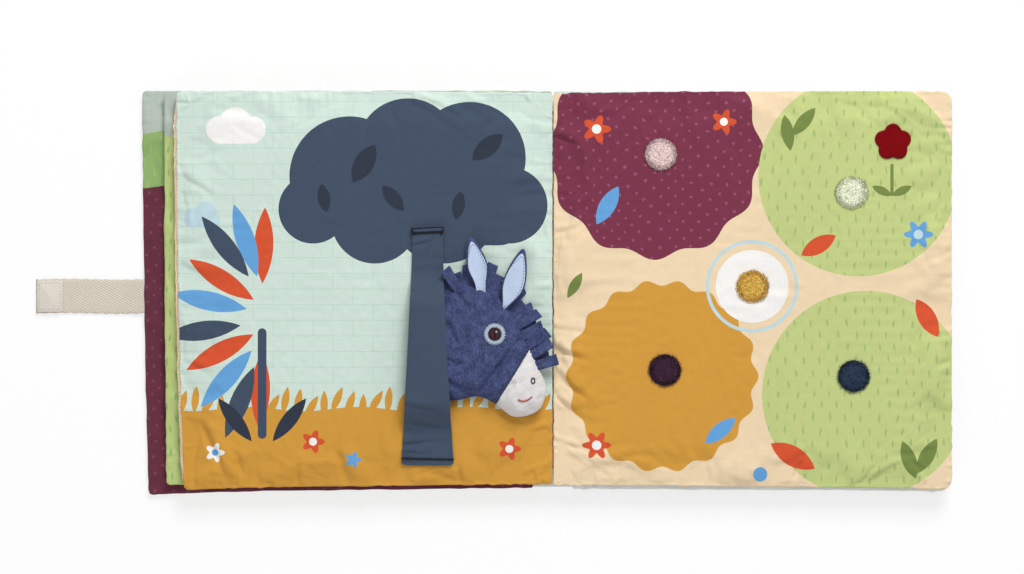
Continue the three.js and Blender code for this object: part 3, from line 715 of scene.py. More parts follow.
def fold_lift(points, folds):
    """Height that long folds add: a ridge with a hollow beside it, fading out at both ends."""
    lift = np.zeros(len(points))
    for x0, y0, x1, y1, width, height in folds:
        run = np.array((x1 - x0, y1 - y0)) * MM
        length = math.hypot(*run)
        off = points[:, :2] - np.array((x0, y0)) * MM
        along = off @ run / length ** 2
        across = (off[:, 0] * run[1] - off[:, 1] * run[0]) / length / (width * MM)
        fade = np.exp(-np.maximum(0, along - 0.4) ** 2 / 0.12 - np.minimum(0, along) ** 2 / 0.02)
        profile = 0.7 * np.exp(-((across + 0.95) / 0.8) ** 2) - 1.2 * np.exp(-(across / 0.42) ** 2)
        lift += 1.4 * height * MM * fade * profile
    return lift


def leaf_frame(name):
    """Inner edge, width, bottom, top, middle height and half thickness, from the cloths' boxes."""
    low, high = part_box(name + "_upper_cloth")
    under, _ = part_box(name + "_lower_cloth")
    crown = LEAVES[name].crown
    inner = min(abs(low.x), abs(high.x))
    if name[:4] == "leaf":
        inner -= CREVICE
    outer = max(abs(low.x), abs(high.x)) + LEAVES[name].reach * MM
    middle = (high.z - crown + under.z) / 2
    half = (high.z - crown - under.z) / 2
    top = high.y + (PAGE_HEAD_REACH if crown > 0 else HIDDEN_HEAD_REACH)
    return inner, outer - inner, low.y - FOOT_REACH, top, middle, half


def leaf_outline(name, across, up):
    """Where a point of the flat leaf comes to lie. across runs 0 to 1 outwards and up 0 to 1 upwards."""
    inner, length, bottom, top, _, _ = leaf_frame(name)
    spec = LEAVES[name]
    height = top - bottom
    u, v = across * length, up * height
    radius = np.where(across < 0.5, INNER_CORNER, CORNER_RADIUS[spec.side])
    corner_u = np.maximum.reduce([radius - u, u - (length - radius), 0 * u]) / radius
    corner_v = np.maximum.reduce([radius - v, v - (height - radius), 0 * v]) / radius
    round_u = corner_u * (1 - np.sqrt(1 - corner_v ** 2 / 2)) * radius
    round_v = corner_v * (1 - np.sqrt(1 - corner_u ** 2 / 2)) * radius
    side_u, side_v = 2 * across - 1, 2 * up - 1
    outward = u - np.sign(side_u) * round_u
    upward = v - np.sign(side_v) * round_v
    pulled = (spec.skew * (1 - up) ** SKEW_POWER + SIDE_PULL * (1 - side_v ** 2)) * outward / length
    inwards = 1 - across
    foot = spec.raised * (FOOT_RISE * inwards + FOOT_SAG * (1 - np.exp(-inwards / FOOT_SAG_SHARE)))
    foot = foot + spec.trim * MM
    head = (spec.crown > 0) * HEAD_DIP * inwards ** 3
    drawn = np.where(side_v > 0, head, -foot) * side_v ** 2
    x = inner + outward - pulled + EDGE_RIPPLE * ripple(v, spec.seed) * across ** 6
    y = bottom + upward - drawn + EDGE_RIPPLE * ripple(u, spec.seed + 3) * side_v ** 9
    return spec.side * x + GUTTER_WANDER * ripple(v, 8) * inwards ** 8, y


def leaf_rise(name, across, up):
    """Half the pad's thickness at a point, nothing at the seam and full past the rolled edge."""
    _, length, bottom, top, _, half = leaf_frame(name)
    rise = half
    for share, reach in ((across, length), (up, top - bottom)):
        from_edge = np.minimum(share, 1 - share) * reach
        step = np.minimum(from_edge, ROLL_WIDTH) / ROLL_WIDTH
        rise = rise * np.sqrt(np.maximum(0, 1 - (1 - step) ** 2))
    return rise


def leaf_mesh(name, cell):
    """The pad before it is stuffed: two grids of cloth that meet in the seam all round."""
    _, length, bottom, top, middle, _ = leaf_frame(name)
    spec = LEAVES[name]
    made = bmesh.new()
    bmesh.ops.create_grid(
        made, x_segments=round(length / cell), y_segments=round((top - bottom) / cell), size=0.5)
    upper = made.verts[:]
    faces = made.faces[:]
    copied = bmesh.ops.duplicate(made, geom=faces)
    lower = of_kind(copied["geom"], bmesh.types.BMVert)
    lower_faces = of_kind(copied["geom"], bmesh.types.BMFace)
    for group, sign in ((upper, 1), (lower, -1)):
        flat = np.array([v.co[:2] for v in group]) + 0.5
        flat = flat - EDGE_FINENESS * np.sin(2 * math.pi * flat) / (2 * math.pi)
        across, up = flat[:, 0], flat[:, 1]
        x, y = leaf_outline(name, across, up)
        z = middle + sign * leaf_rise(name, across, up)
        if sign > 0:
            z = z + spec.crown * (1 - (2 * across - 1) ** 2) * (1 - (2 * up - 1) ** 2)
        for vert, place in zip(group, np.stack([x, y, z], 1)):
            vert.co = place
    for face in lower_faces:
        face.material_index = 1
    bmesh.ops.reverse_faces(made, faces=lower_faces if spec.side > 0 else faces)
    bmesh.ops.remove_doubles(made, verts=made.verts[:], dist=WELD)
    return made


def stuff(obj, hold, steps, cap, slack, pressure):
    """Fills a closed cloth with wadding: Blender's cloth, pushed out from inside and held at its seam."""
    start = read_points(obj.data)
    group = obj.vertex_groups.new(name="hold")
    for weight in np.unique(hold):
        group.add(np.flatnonzero(hold == weight).tolist(), float(weight), "REPLACE")
    modifier = obj.modifiers.new("Stuffing", "CLOTH")
    cloth = modifier.settings
    cloth.quality = 5
    cloth.mass = 0.15
    cloth.tension_stiffness = 12
    cloth.compression_stiffness = 12
    cloth.shear_stiffness = 5
    cloth.bending_stiffness = 0.2
    cloth.vertex_group_mass = "hold"
    cloth.pin_stiffness = 1.0
    cloth.use_pressure = True
    cloth.uniform_pressure_force = pressure
    cloth.shrink_min = -slack
    cloth.effector_weights.gravity = 0
    modifier.collision_settings.use_collision = False
    scene = bpy.context.scene
    for step in range(1, steps + 1):
        scene.frame_set(step)
    evaluated = obj.evaluated_get(bpy.context.evaluated_depsgraph_get())
    moved = read_points(evaluated.data) - start
    obj.modifiers.remove(modifier)
    obj.vertex_groups.remove(group)
    scene.frame_set(1)
    reach = np.linalg.norm(moved, axis=1)
    share = np.minimum(1, cap / np.maximum(reach, 1e-9))
    write_points(obj.data, start + moved * share[:, None])


def distance_to(points, seam):
    """Distance of each point from the nearest point of a seam, seen from above."""
    tree = KDTree(len(seam))
    for i, spot in enumerate(seam):
        tree.insert((spot[0], spot[1], 0), i)
    tree.balance()
    return np.array([tree.find((x, y, 0))[2] for x, y, _ in points])


def cloth_sides(mesh):
    """1 for the points of the upper cloth, -1 for those of the lower and 0 for those in the seam."""
    materials = np.zeros(len(mesh.polygons), np.int32)
    mesh.polygons.foreach_get("material_index", materials)
    corners = np.zeros(len(mesh.polygons), np.int32)
    mesh.polygons.foreach_get("loop_total", corners)
    verts = np.zeros(len(mesh.loops), np.int32)
    mesh.loops.foreach_get("vertex_index", verts)
    cloth = np.repeat(1 - 2 * materials, corners)
    highest = np.full(len(mesh.vertices), -1)
    lowest = np.full(len(mesh.vertices), 1)
    np.maximum.at(highest, verts, cloth)
    np.minimum.at(lowest, verts, cloth)
    return (highest + lowest) / 2


def settle_leaf(name, pad):
    """Puckers the pad along its seam, lays the long folds in, and keeps it in its place in the stack."""
    points = read_points(pad.data)
    spec = LEAVES[name]
    _, _, _, _, middle, half = leaf_frame(name)
    sign = cloth_sides(pad.data)
    gap = distance_to(points, points[sign == 0])
    low_x, high_x = points[:, 0].min(), points[:, 0].max()
    low_y, high_y = points[:, 1].min(), points[:, 1].max()
    near_side = np.minimum(points[:, 0] - low_x, high_x - points[:, 0])
    near_end = np.minimum(points[:, 1] - low_y, high_y - points[:, 1])
    at_side = near_side < near_end
    along = np.where(at_side, points[:, 1], points[:, 0])
    inner_side = at_side & (spec.side * (points[:, 0] - (low_x + high_x) / 2) < 0)

    depth = np.minimum(gap / SEAM_WAVE_START, 1) * np.exp(-gap / SEAM_WAVE_REACH)
    points[:, 2] += sign * SEAM_WAVE * ripple(along, spec.seed) * depth
    tuck = np.zeros(len(points))
    for k, edge in enumerate((at_side & ~inner_side, inner_side, ~at_side & (points[:, 1] < 0),
                              ~at_side & (points[:, 1] > 0))):
        tuck[edge] = puckers(along[edge], gap[edge], spec.seed * 10 + k)
    points[:, 2] -= sign * TUCK_DEPTH * tuck * np.minimum(gap / TUCK_START, 1)
    ceiling = middle + half + PAD_ROOM
    if name in PAGE_FOLDS:
        points[:, 2] += (sign > 0) * fold_lift(points, PAGE_FOLDS[name]) * np.minimum(gap / FOLD_START, 1)
        ceiling = ceiling + PAGE_CROWN + FOLD_ROOM * ~under_puppet(points)

    baggy = np.clip(near_end / BAGGY_ENDS, 0, 1) * at_side * (name == "leaf_2")
    lower_cloth = (BULGE_MM + BAGGY_MM * baggy) * MM
    bulge = lower_cloth * gap / BULGE_REACH * np.exp(1 - gap / BULGE_REACH) * (sign < 0)
    points[:, 0] += bulge * at_side * ~inner_side * spec.side
    points[:, 1] += bulge * ~at_side * np.sign(points[:, 1])
    step = np.minimum(gap, ROLL_WIDTH) / ROLL_WIDTH
    least = np.where(sign > 0, LEAST_UPPER_SHARE, LEAST_LOWER_SHARE) * half
    least = least * np.sqrt(np.maximum(0, 1 - (1 - step) ** 2))
    points[:, 2] = middle + sign * np.maximum(sign * (points[:, 2] - middle), least)
    points[:, 2] = np.clip(points[:, 2], middle - half - PAD_FLOOR, ceiling)
    write_points(pad.data, points)


def under_puppet(points):
    """Where the puppet or the strap lies on the page, so that no fold may rise."""
    low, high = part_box("page_strap")
    _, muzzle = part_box("puppet_muzzle")
    across = (points[:, 0] > low.x - STRAP_MARGIN) & (points[:, 0] < muzzle.x + STRAP_MARGIN)
    return across & (points[:, 1] > low.y - STRAP_MARGIN) & (points[:, 1] < high.y + STRAP_MARGIN)


def cotton_prints():
    """The two cloths of each leaf, upper first."""
    left, right = -108, 110
    return {
        "leaf_2": (printed_cotton("Printed cotton meadow", "bricks", left_page_layers()),
                   printed_cotton("Printed cotton sand bloom", "sand",
                                  bloom_layers(left, "maroon", "dots", "orange"))),
        "leaf_3": (printed_cotton("Printed cotton rounds", "sand", right_page_layers()),
                   printed_cotton("Printed cotton mint bloom", "bricks",
                                  bloom_layers(right, "ochre", "orange", "sky"))),
        "front_cover": (printed_cotton("Printed cotton bands", "maroon", inside_cover_layers()),
                        printed_cotton("Printed cotton front", "bricks", outer_cover_layers(-116))),
        "leaf_1": (printed_cotton("Printed cotton dashes", "green", leaf_1_layers()),
                   printed_cotton("Printed cotton pale bloom", "bricks",
                                  bloom_layers(left, "sky", "pale", "orange"))),
        "leaf_4": (printed_cotton("Printed cotton navy bloom", "bricks",
                                  bloom_layers(right, "navy", "sky", "ochre")),
                   printed_cotton("Printed cotton white bloom", "white",
                                  bloom_layers(right, "orange", "ochre", "maroon"))),
        "back_cover": (printed_cotton("Printed cotton inner back", "white",
                                      bloom_layers(116, "maroon", "dots", "white")),
                       printed_cotton("Printed cotton back", "bricks", outer_cover_layers(116))),
    }


EDGE_SEAM_POINTS = 200
EDGE_SEAM_START_SHARE, EDGE_SEAM_SPAN_SHARE = 0.03, 0.94
EDGE_SEAM_INSET = 0.15 * MM
EDGE_SEAM_RISE = 0.45 * MM


def sew_left_edge():
    """The pale stitches that show along the outer seam of the open left page."""
    _, _, _, _, middle, _ = leaf_frame("leaf_2")
    made = bmesh.new()
    path = []
    for i in range(EDGE_SEAM_POINTS):
        up = np.array([EDGE_SEAM_START_SHARE + EDGE_SEAM_SPAN_SHARE * i / (EDGE_SEAM_POINTS - 1)])
        x, y = leaf_outline("leaf_2", np.array([1.0]), up)
        path.append(Vector((x[0] + EDGE_SEAM_INSET, y[0], middle + EDGE_SEAM_RISE)))
    lay_seam(made, path, sizes().stitch * 0.8, sizes().thread * 1.2, 0.4)
    finish_stitches("left_page_edge_stitches", made, "leaf_2", "rose_thread",
                    "Polyester thread pink", "#dfb3a8")


LEAF_SLOTS = {
    "leaf_2": "meadow_print", "leaf_3": "sand_print", "front_cover": "maroon_print",
    "leaf_1": "green_print", "leaf_4": "mint_print", "back_cover": "mint_print",
}


class CLOTHBOOK_OT_leaves(bpy.types.Operator):
    """Make the six padded leaves, two of them covers"""

    bl_idname = "cloth_book.leaves"
    bl_label = "Padded leaves"

    def execute(self, context):
        prints = cotton_prints()
        for name, spec in LEAVES.items():
            shows = spec.crown > 0
            cell = sizes().cell if shows else sizes().cell * HIDDEN_CELL_SHARE
            pad = finish_mesh(name + "_pad", leaf_mesh(name, cell), *prints[name])
            points = read_points(pad.data)
            at_seam = cloth_sides(pad.data) == 0
            gap = distance_to(points, points[at_seam])
            inwards = np.clip((gap - HOLD_START) / HOLD_SPAN, 0, 1)
            hold = np.where(at_seam, 1.0, np.round(MIDDLE_HOLD * inwards, 2))
            steps = PAGE_STEPS if shows else HIDDEN_STEPS
            stuff(pad, hold, steps, SWELL_LIMIT, sizes().slack, sizes().pressure)
            soften(pad)
            apply_modifiers(pad)
            settle_leaf(name, pad)
            dress(pad, name, LEAF_SLOTS[name],
                  name + "_upper_cloth", name + "_lower_cloth", name + "_wadding")
        sew_left_edge()
        return {"FINISHED"}


# Threads and stitches


def thread_finish(name, colour, roughness=0.5, darkest=0.8, glow=0.0):
    """Twisted sewing thread: a faint slanting twist and a soft shine along it.

    glow is the share of light that passes through it, as in a soft loose thread."""
    material, tree = new_material(name)
    mm = cloth_point(tree)
    twist = add(tree, VMATH, {0: mm, 1: (7, 9, 5)}, operation="DOT_PRODUCT").outputs["Value"]
    ply = add(tree, MATH, {0: twist}, operation="SINE")
    bump = add(tree, BUMP, {"Height": ply, "Strength": 0.35, "Distance": 0.08 * MM})
    patches = add(tree, NOISE, {"Vector": mm, "Scale": 1.3, "Detail": 2.0})
    tone_and_painted_light = shaded(tree, colour, patches, 0.3, 0.7, darkest, 1.08)
    shader = add(
        tree, PRINCIPLED,
        {"Base Color": tone_and_painted_light, "Roughness": roughness, "Normal": bump, "Sheen Weight": 0.5 * glow,
         "Sheen Roughness": 0.4, "Specular IOR Level": 0.2, "Subsurface Weight": glow,
         "Subsurface Radius": (1.0, 1.0, 1.0), "Subsurface Scale": 1.5 * MM})
    add(tree, OUTPUT, {0: shader})
    return material


def finish_stitches(name, made, body, slot, thread, hex_colour):
    """Turns stitches into a piece of their own, in a thread of their own colour."""
    dress(finish_mesh(name, made, thread_finish(thread, linear(hex_colour))), body, slot)


def lay_stitch(made, start, end, thickness):
    """One stitch, a slim bead of thread from start to end."""
    run = end - start
    turn = run.to_track_quat("X", "Z").to_matrix().to_4x4()
    size = Matrix.Diagonal((run.length / 2, thickness / 2, thickness / 2, 1))
    bmesh.ops.create_uvsphere(
        made, u_segments=6, v_segments=5, radius=1,
        matrix=Matrix.Translation((start + end) / 2) @ turn @ size)


def lay_seam(made, path, length, thickness, gap_share=0.35):
    """A row of stitches along a path of points. With a gap below 0 they overlap."""
    marks = np.concatenate([[0], np.cumsum([(b - a).length for a, b in zip(path, path[1:])])])
    places = np.array([tuple(p) for p in path])

    def spot(reach):
        return Vector([np.interp(reach, marks, places[:, k]) for k in range(3)])

    for reach in np.arange(0, marks[-1], length):
        stop = min(reach + length * (1 - gap_share), marks[-1])
        lay_stitch(made, spot(reach), spot(stop), thickness)


# The gutter: the cloth round the spine, and the gathered hems by which each leaf hangs

SPINE_EDGE = 11.5 * MM
SPINE_CLOTH = 0.7 * MM
SPINE_FOOT = 2.7 * MM
SPINE_HEAD = 0.4 * MM
SPINE_BOW = [
    (-SPINE_EDGE, 2.2 * MM), (-9.6 * MM, 1.0 * MM), (-6 * MM, 0.45 * MM), (-3 * MM, 0.4 * MM),
    (0, 0.4 * MM), (3 * MM, 0.4 * MM), (6 * MM, 0.45 * MM), (9.6 * MM, 1.0 * MM), (SPINE_EDGE, 2.2 * MM),
]
HEM_ENDS = 6.5 * MM
HEM_ROWS = 160
HEM_CLOTH = 0.5 * MM
HEM_GATHERS = 0.3 * MM
HEM_SHARES = (0, 0.2, 0.4, 0.6, 0.8, 1)
GATHER_RISE_SHARE = 0.6
BINDING_WIDTH = 0.7 * MM
BINDING_DROP = 2.8 * MM
BINDING_ROUND = 0.2 * MM
GUTTER_PITCH_SHARE = 1.7
GUTTER_LEAN = 0.25 * MM
GUTTER_THREAD = 0.6 * MM

# The hem of each leaf: the leaf under it, its side, and its lower and upper edge in x and z in millimetres
HEMS = {
    "leaf_1": ("front_cover", -1, (-10.5, 3.2), (-1.2, 7.0)),
    "leaf_2": ("leaf_1", -1, (-1.5, 7.6), (-1.0, 12.0)),
    "leaf_4": ("back_cover", 1, (10.5, 3.2), (1.2, 7.0)),
    "leaf_3": ("leaf_4", 1, (1.5, 7.6), (1.0, 12.0)),
}


def cross_cloth(name, path, ends, material, thickness, gathers):
    """A strip of cloth along the spine. path is its cross-section in x and z, and ends its reach in y."""
    made = bmesh.new()
    bmesh.ops.create_grid(made, x_segments=len(path) - 1, y_segments=HEM_ROWS, size=0.5)
    for vert in made.verts:
        column = round((vert.co.x + 0.5) * (len(path) - 1))
        y = ends[0] + (vert.co.y + 0.5) * (ends[1] - ends[0])
        x, z = path[column]
        loose = math.sin(math.pi * column / (len(path) - 1))
        wave = float(ripple(np.array(y), column * 0.15 + 2))
        vert.co = (x + gathers * loose * wave, y, z + gathers * GATHER_RISE_SHARE * loose * wave)
    face_outwards(made)
    obj = finish_mesh(name, made, material)
    thicken(obj, thickness)
    apply_modifiers(obj)
    return obj


def make_spine():
    """The strip that joins the covers, which bends round the closed book; here it keeps the bow it has with
    the book open.
    """
    low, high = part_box("spine_strip")
    ends = (low.y + SPINE_FOOT, high.y + SPINE_HEAD)
    cloth = printed_cotton("Printed cotton spine", "white", [])
    spine = cross_cloth("spine_cloth", SPINE_BOW, ends, cloth, SPINE_CLOTH, 0.0)
    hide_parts("spine_strip")
    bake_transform(spine)


def make_hems(cloth, ends):
    """The hems, each from its leaf down to the leaf that it hangs on."""
    for leaf_name, (parent, side, low, high) in HEMS.items():
        start, end = Vector((low[0], 0, low[1])) * MM, Vector((high[0], 0, high[1])) * MM
        path = [(start.x + (end.x - start.x) * t, start.z + (end.z - start.z) * t) for t in HEM_SHARES]
        hem = cross_cloth(leaf_name + "_hem", path, ends, cloth, HEM_CLOTH, HEM_GATHERS)
        if side < 0:
            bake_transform(hem)
        else:
            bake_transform(hem)


def make_binding(cloth, ends):
    """The narrow ridge in which the hems are sewn together, and the stitches that show on it."""
    low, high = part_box("gutter_binding")
    height = high.z - BINDING_DROP
    middle = (0, (ends[0] + ends[1]) / 2, (low.z + height) / 2)
    size = (BINDING_WIDTH, ends[1] - ends[0], height - low.z, 1)
    seam = bmesh.new()
    bmesh.ops.create_cube(seam, size=1, matrix=Matrix.Translation(middle) @ Matrix.Diagonal(size))
    bmesh.ops.bevel(seam, geom=seam.edges[:], offset=BINDING_ROUND, segments=2, profile=0.5,
                    affect="EDGES", material=-1)
    dress(finish_mesh("gutter_seam", seam, cloth), "back_cover", "mint_print", "gutter_binding")

    made = bmesh.new()
    step = GUTTER_PITCH_SHARE * sizes().stitch
    for i in range(int((ends[1] - ends[0]) / step)):
        y = ends[0] + (i + 0.5) * step
        lean = GUTTER_LEAN * math.sin(i * 1.9)
        z = height + (1.5 + 0.9 * math.sin(i * 0.23 + 1.0)) * MM
        lay_stitch(made, Vector((lean, y, z)), Vector((-lean, y + sizes().stitch, z)), GUTTER_THREAD)
    # The thread is a darker rose than the pale pink stitches it stands for: partly the thread's colour,
    # partly painted shade for the dark line down the gutter.
    finish_stitches("gutter_stitches", made, "back_cover", "rose_thread",
                    "Polyester thread blush", "#b4675f")


class CLOTHBOOK_OT_gutter(bpy.types.Operator):
    """Make the spine cloth, the gathered hems of the leaves and the stitches between them"""

    bl_idname = "cloth_book.gutter"
    bl_label = "Spine and gutter"

    def execute(self, context):
        make_spine()
        low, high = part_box("gutter_binding")
        ends = (low.y + HEM_ENDS, high.y - HEM_ENDS)
        cloth = printed_cotton("Cotton hem", "white", [])
        make_hems(cloth, ends)
        make_binding(cloth, ends)
        return {"FINISHED"}


# The strap that is sewn to the left page

STRAP_TOP_WIDTH = 16.4 * MM
STRAP_BOTTOM_WIDTH = 29 * MM
STRAP_FLARE_POWER = 1.4
STRAP_THICKNESS = 1.1 * MM
STRAP_ROLL = 3.4 * MM
STRAP_CORNER = 2.4 * MM
STRAP_SEAM_BOTTOM = 3.6 * MM
STRAP_GRID = (26, 190)
STRAP_GAP = 0.2 * MM
STRAP_DROOP = 0.9 * MM
STRAP_CURL = 0.35 * MM
STRAP_ROUND = 0.4 * MM
ROLL_GRID = (24, 10)
ROLL_OVERHANG = 0.7 * MM
ROLL_SLANT = 0.45 * MM
ROLL_CREASE = 0.12 * MM
ROLL_SINK = 0.5 * MM
ROLL_HEIGHT = 1.1 * MM
ROLL_CLOTH = 0.5 * MM
SEAM_INSET = 1.5 * MM
SEAM_STEPS = 12
CORNER_STITCHES = 6
NECK_HIGH = -10.1 * MM
NECK_LOW = -60.5 * MM
STRAP_RISE = 20 * MM
STRAP_FOLDS = [
    (-84, -86, -58, -83, 2.6, 0.5), (-76, -74, -56, -78, 2.4, 0.4), (-76, 24, -64, 27, 2.0, 0.4),
    (-77, -2, -66, -6, 3.0, 0.3), (-80, -64, -60, -68, 3.0, 0.4), (-67, 26, -72, 12, 2.4, 0.35),
    (-80, -90, -68, -91, 2.0, 0.35),
]


def strap_width(y, top, bottom):
    down = (top - y) / (top - bottom)
    return STRAP_TOP_WIDTH + (STRAP_BOTTOM_WIDTH - STRAP_TOP_WIDTH) * max(0, down) ** STRAP_FLARE_POWER


def strap_lift(y):
    """How far the strap has climbed from the page to the puppet's neck, 0 to 1."""
    past = max(y - NECK_HIGH, NECK_LOW - y, 0)
    return 1 - ease(min(past / STRAP_RISE, 1))


def make_strap(cloth):
    """The strap, which lies on the page and climbs over the puppet's neck."""
    low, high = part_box("page_strap")
    middle = (low.x + high.x) / 2
    page = surface(bpy.data.objects["leaf_2_pad"])
    arch = high.z - STRAP_THICKNESS / 2
    made = bmesh.new()
    bmesh.ops.create_grid(made, x_segments=STRAP_GRID[0], y_segments=STRAP_GRID[1], size=0.5)
    for vert in made.verts:
        across = vert.co.x * 2
        y = low.y + (vert.co.y + 0.5) * (high.y - low.y)
        foot = max(0, 1 - (y - low.y) / STRAP_CORNER)
        rounded = STRAP_CORNER * (1 - math.sqrt(1 - foot ** 2))
        x = middle + across * (strap_width(y, high.y, low.y) / 2 - rounded)
        on_page = height_at(page, x, y) + STRAP_GAP + STRAP_THICKNESS / 2
        lift = strap_lift(y)
        droop = STRAP_DROOP * across ** 4 * lift
        curl = STRAP_CURL * across ** 6 * (1 - lift)
        vert.co = (x, y, on_page + (arch - on_page) * lift - droop + curl)
    face_outwards(made)
    strap = finish_mesh("page_strap_cloth", made, cloth)
    points = read_points(strap.data)
    points[:, 2] += fold_lift(points, STRAP_FOLDS)
    write_points(strap.data, points)
    thicken(strap, STRAP_THICKNESS)
    round_edges(strap, "Fold", STRAP_ROUND, 2)
    soften(strap)
    dress(strap, "leaf_2", "navy_cotton", "page_strap")
    return strap


def make_strap_roll(top, cloth, half):
    """The end that is folded under at the head of the strap, rounder than the rest."""
    low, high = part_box("page_strap")
    middle = (low.x + high.x) / 2
    made = bmesh.new()
    bmesh.ops.create_grid(made, x_segments=ROLL_GRID[0], y_segments=ROLL_GRID[1], size=0.5)
    for vert in made.verts:
        across, up = vert.co.x * 2, vert.co.y * 2
        x = middle + across * half
        y = high.y - STRAP_ROLL / 2 + up * STRAP_ROLL / 2 + ROLL_SLANT * across
        rise = math.sqrt(max(0, 1 - up ** 4)) * (1 - 0.35 * across ** 8)
        crease = ROLL_CREASE * math.sin(across * 17 + up * 3)
        vert.co = (x, y, height_at(top, middle, high.y - 2 * MM) - ROLL_SINK + ROLL_HEIGHT * rise + crease)
    face_outwards(made)
    roll = finish_mesh("page_strap_fold", made, cloth)
    thicken(roll, ROLL_CLOTH, -1.0)
    soften(roll)
    dress(roll, "leaf_2", "navy_cotton")
    return roll


def sew_strap(top, fold, half):
    """Black seams across both ends of the strap, and the stitches that close its upper corners."""
    low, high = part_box("page_strap")
    middle = (low.x + high.x) / 2
    foot_half = strap_width(low.y, high.y, low.y) / 2
    thread = sizes().thread
    made = bmesh.new()
    # Each seam: the cloth it lies on, its place in y, how much it slants, half its length, its thread
    rows = (
        (top, high.y - STRAP_ROLL - 0.1 * MM, 0.9 * MM, half + 0.3 * MM, thread * 2.6),
        (fold, high.y - 0.7 * MM, 0.9 * MM, half - 0.3 * MM, thread * 1.6),
        (top, low.y + STRAP_SEAM_BOTTOM, -0.5 * MM, foot_half + 0.2 * MM, thread * 2.4),
    )
    for ground, y, lean, reach, thickness in rows:
        path = []
        for i in range(SEAM_STEPS + 1):
            x = middle - reach + 2 * reach * i / SEAM_STEPS
            place = y + lean * (i / SEAM_STEPS - 0.5)
            inside = min(max(x, middle - reach + SEAM_INSET), middle + reach - SEAM_INSET)
            z = height_at(ground, inside, place)
            path.append(Vector((x, place, z + thickness * 0.3)))
        lay_seam(made, path, sizes().stitch * 0.8, thickness, -0.5)
    for side in (-1, 1):
        for k in range(CORNER_STITCHES):
            x = middle + side * (half + (0.1 - 0.25 * k) * MM)
            z = height_at(top, middle + side * (half - 2 * MM), high.y - 4 * MM) + 0.5 * MM
            start = Vector((x, high.y - (0.3 + 0.5 * k) * MM, z + 0.4 * MM))
            run = Vector((side * 0.5 * MM, 2.6 * MM, 0.3 * MM))
            lay_stitch(made, start, start - run, thread * 1.4)
    finish_stitches("page_strap_stitches", made, "leaf_2", "dark_thread",
                    "Polyester thread black", "#020306")


class CLOTHBOOK_OT_strap(bpy.types.Operator):
    """Make the strap over the puppet's neck, folded in at its head and sewn down at both ends"""

    bl_idname = "cloth_book.strap"
    bl_label = "Page strap"

    def execute(self, context):
        low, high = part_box("page_strap")
        half = strap_width(high.y, high.y, low.y) / 2 + ROLL_OVERHANG
        navy = printed_cotton("Plain weave cotton navy", "navy", [])
        top = surface(make_strap(navy))
        fold = surface(make_strap_roll(top, navy, half))
        sew_strap(top, fold, half)
        return {"FINISHED"}


# The finger puppet, a plain pony's head

PUPPET_LENGTH = 100 * MM
PUPPET_HEIGHT = 73 * MM
PUPPET_RIM = 1.2 * MM
PUPPET_ROLL = 17 * MM
RIM_SAG = 2.4 * MM
PUPPET_SHARES = [
    (0, 0.77), (0.18, 0.76), (0.33, 0.8), (0.45, 0.9), (0.57, 0.985), (0.69, 0.96), (0.8, 0.8),
    (0.88, 0.59), (0.95, 0.39), (1, 0.21), (0.96, 0.05), (0.83, 0), (0.73, 0.09), (0.63, 0.15),
    (0.5, 0.12), (0.36, 0.13), (0.18, 0.15), (0, 0.13), (-0.05, 0.45),
]
MUZZLE_SHARES = (0.82, 0.3)
MUZZLE_TURN = -0.55
EAR_LENGTH = 38 * MM
EAR_WIDTH = 14 * MM
EAR_SHARES = [
    (0, 0), (0.36, 0.18), (0.5, 0.48), (0.3, 0.8), (0, 1), (-0.3, 0.8), (-0.5, 0.48), (-0.36, 0.18),
]
EARS = {"near": ((0.65, 0.84), 0.15, 0.13, 0.3), "far": ((0.755, 0.77), -0.35, 0.05, 0.13)}
MANE_TABS = {"mane": (2.95, 5.5, 6), "forelock": (5.7, 8.2, 7)}
EAR_SPAN = (3.9, 6.4)
STRAP_SPAN = 3.4
TAB_LENGTH = 12.5 * MM
POCKET_DEPTH = 18 * MM
EYE_RING = 2.8 * MM
EYE_THREADS = 17
EYE_SPOKES = 44
COAT_SLAB = 2 * MM
COAT_VOXEL = 1.1 * MM
COAT_ROOM = 0.3 * MM
COAT_STEPS = 12
COAT_SWELL_LIMIT = 1.4 * MM
COAT_SLACK = 0.05
COAT_PRESSURE = 1.5
COAT_RIM = 1.0 * MM
RIM_HOLD, COAT_HOLD = 0.9, 0.06
RIM_WAVE = 0.25 * MM
RIM_REACH = 5 * MM
SEAM_PULL_SHARE = 0.3
SEAM_PULL_WIDTH = 1.8 * MM
FELT_GROWTH = 0.25 * MM
TAB_WIDTH = 5.7 * MM
TAB_ROOT = 3.0 * MM
TAB_CLOTH = 1.3 * MM
TAB_ROUND = 0.35 * MM
TAB_DROP = 1.0 * MM
TAB_CLEARANCE = 0.9 * MM
PUPPET_FOLDS = [
    (-24, -36, -40, -62, 5.0, 2.2), (-31, -44, -46, -66, 3.8, 1.5), (-57, -20, -50, -36, 4.8, 1.5),
    (-58, -50, -42, -60, 4.2, 1.8), (-31, -8, -38, -18, 3.8, 1.3), (-14, -26, -24, -33, 3.8, 1.4),
    (-60, -38, -46, -43, 4.2, 1.4), (-52, -4, -44, -13, 3.8, 1.3), (-22, -52, -30, -60, 3.6, 1.3),
]


def smooth_loop(points, steps):
    """Points along a smooth closed line through the given ones."""
    return [loop_point(points, i / steps) for i in range(len(points) * steps)]


def loop_point(points, place):
    """The point of a smooth closed line at a place counted in its given points."""
    i = math.floor(place)
    t = place - i
    p0, p1, p2, p3 = (Vector(points[(i + k) % len(points)]) for k in (-1, 0, 1, 2))
    return 0.5 * (2 * p1 + (p2 - p0) * t + (2 * p0 - 5 * p1 + 4 * p2 - p3) * t * t
                  + (3 * p1 - p0 - 3 * p2 + p3) * t ** 3)


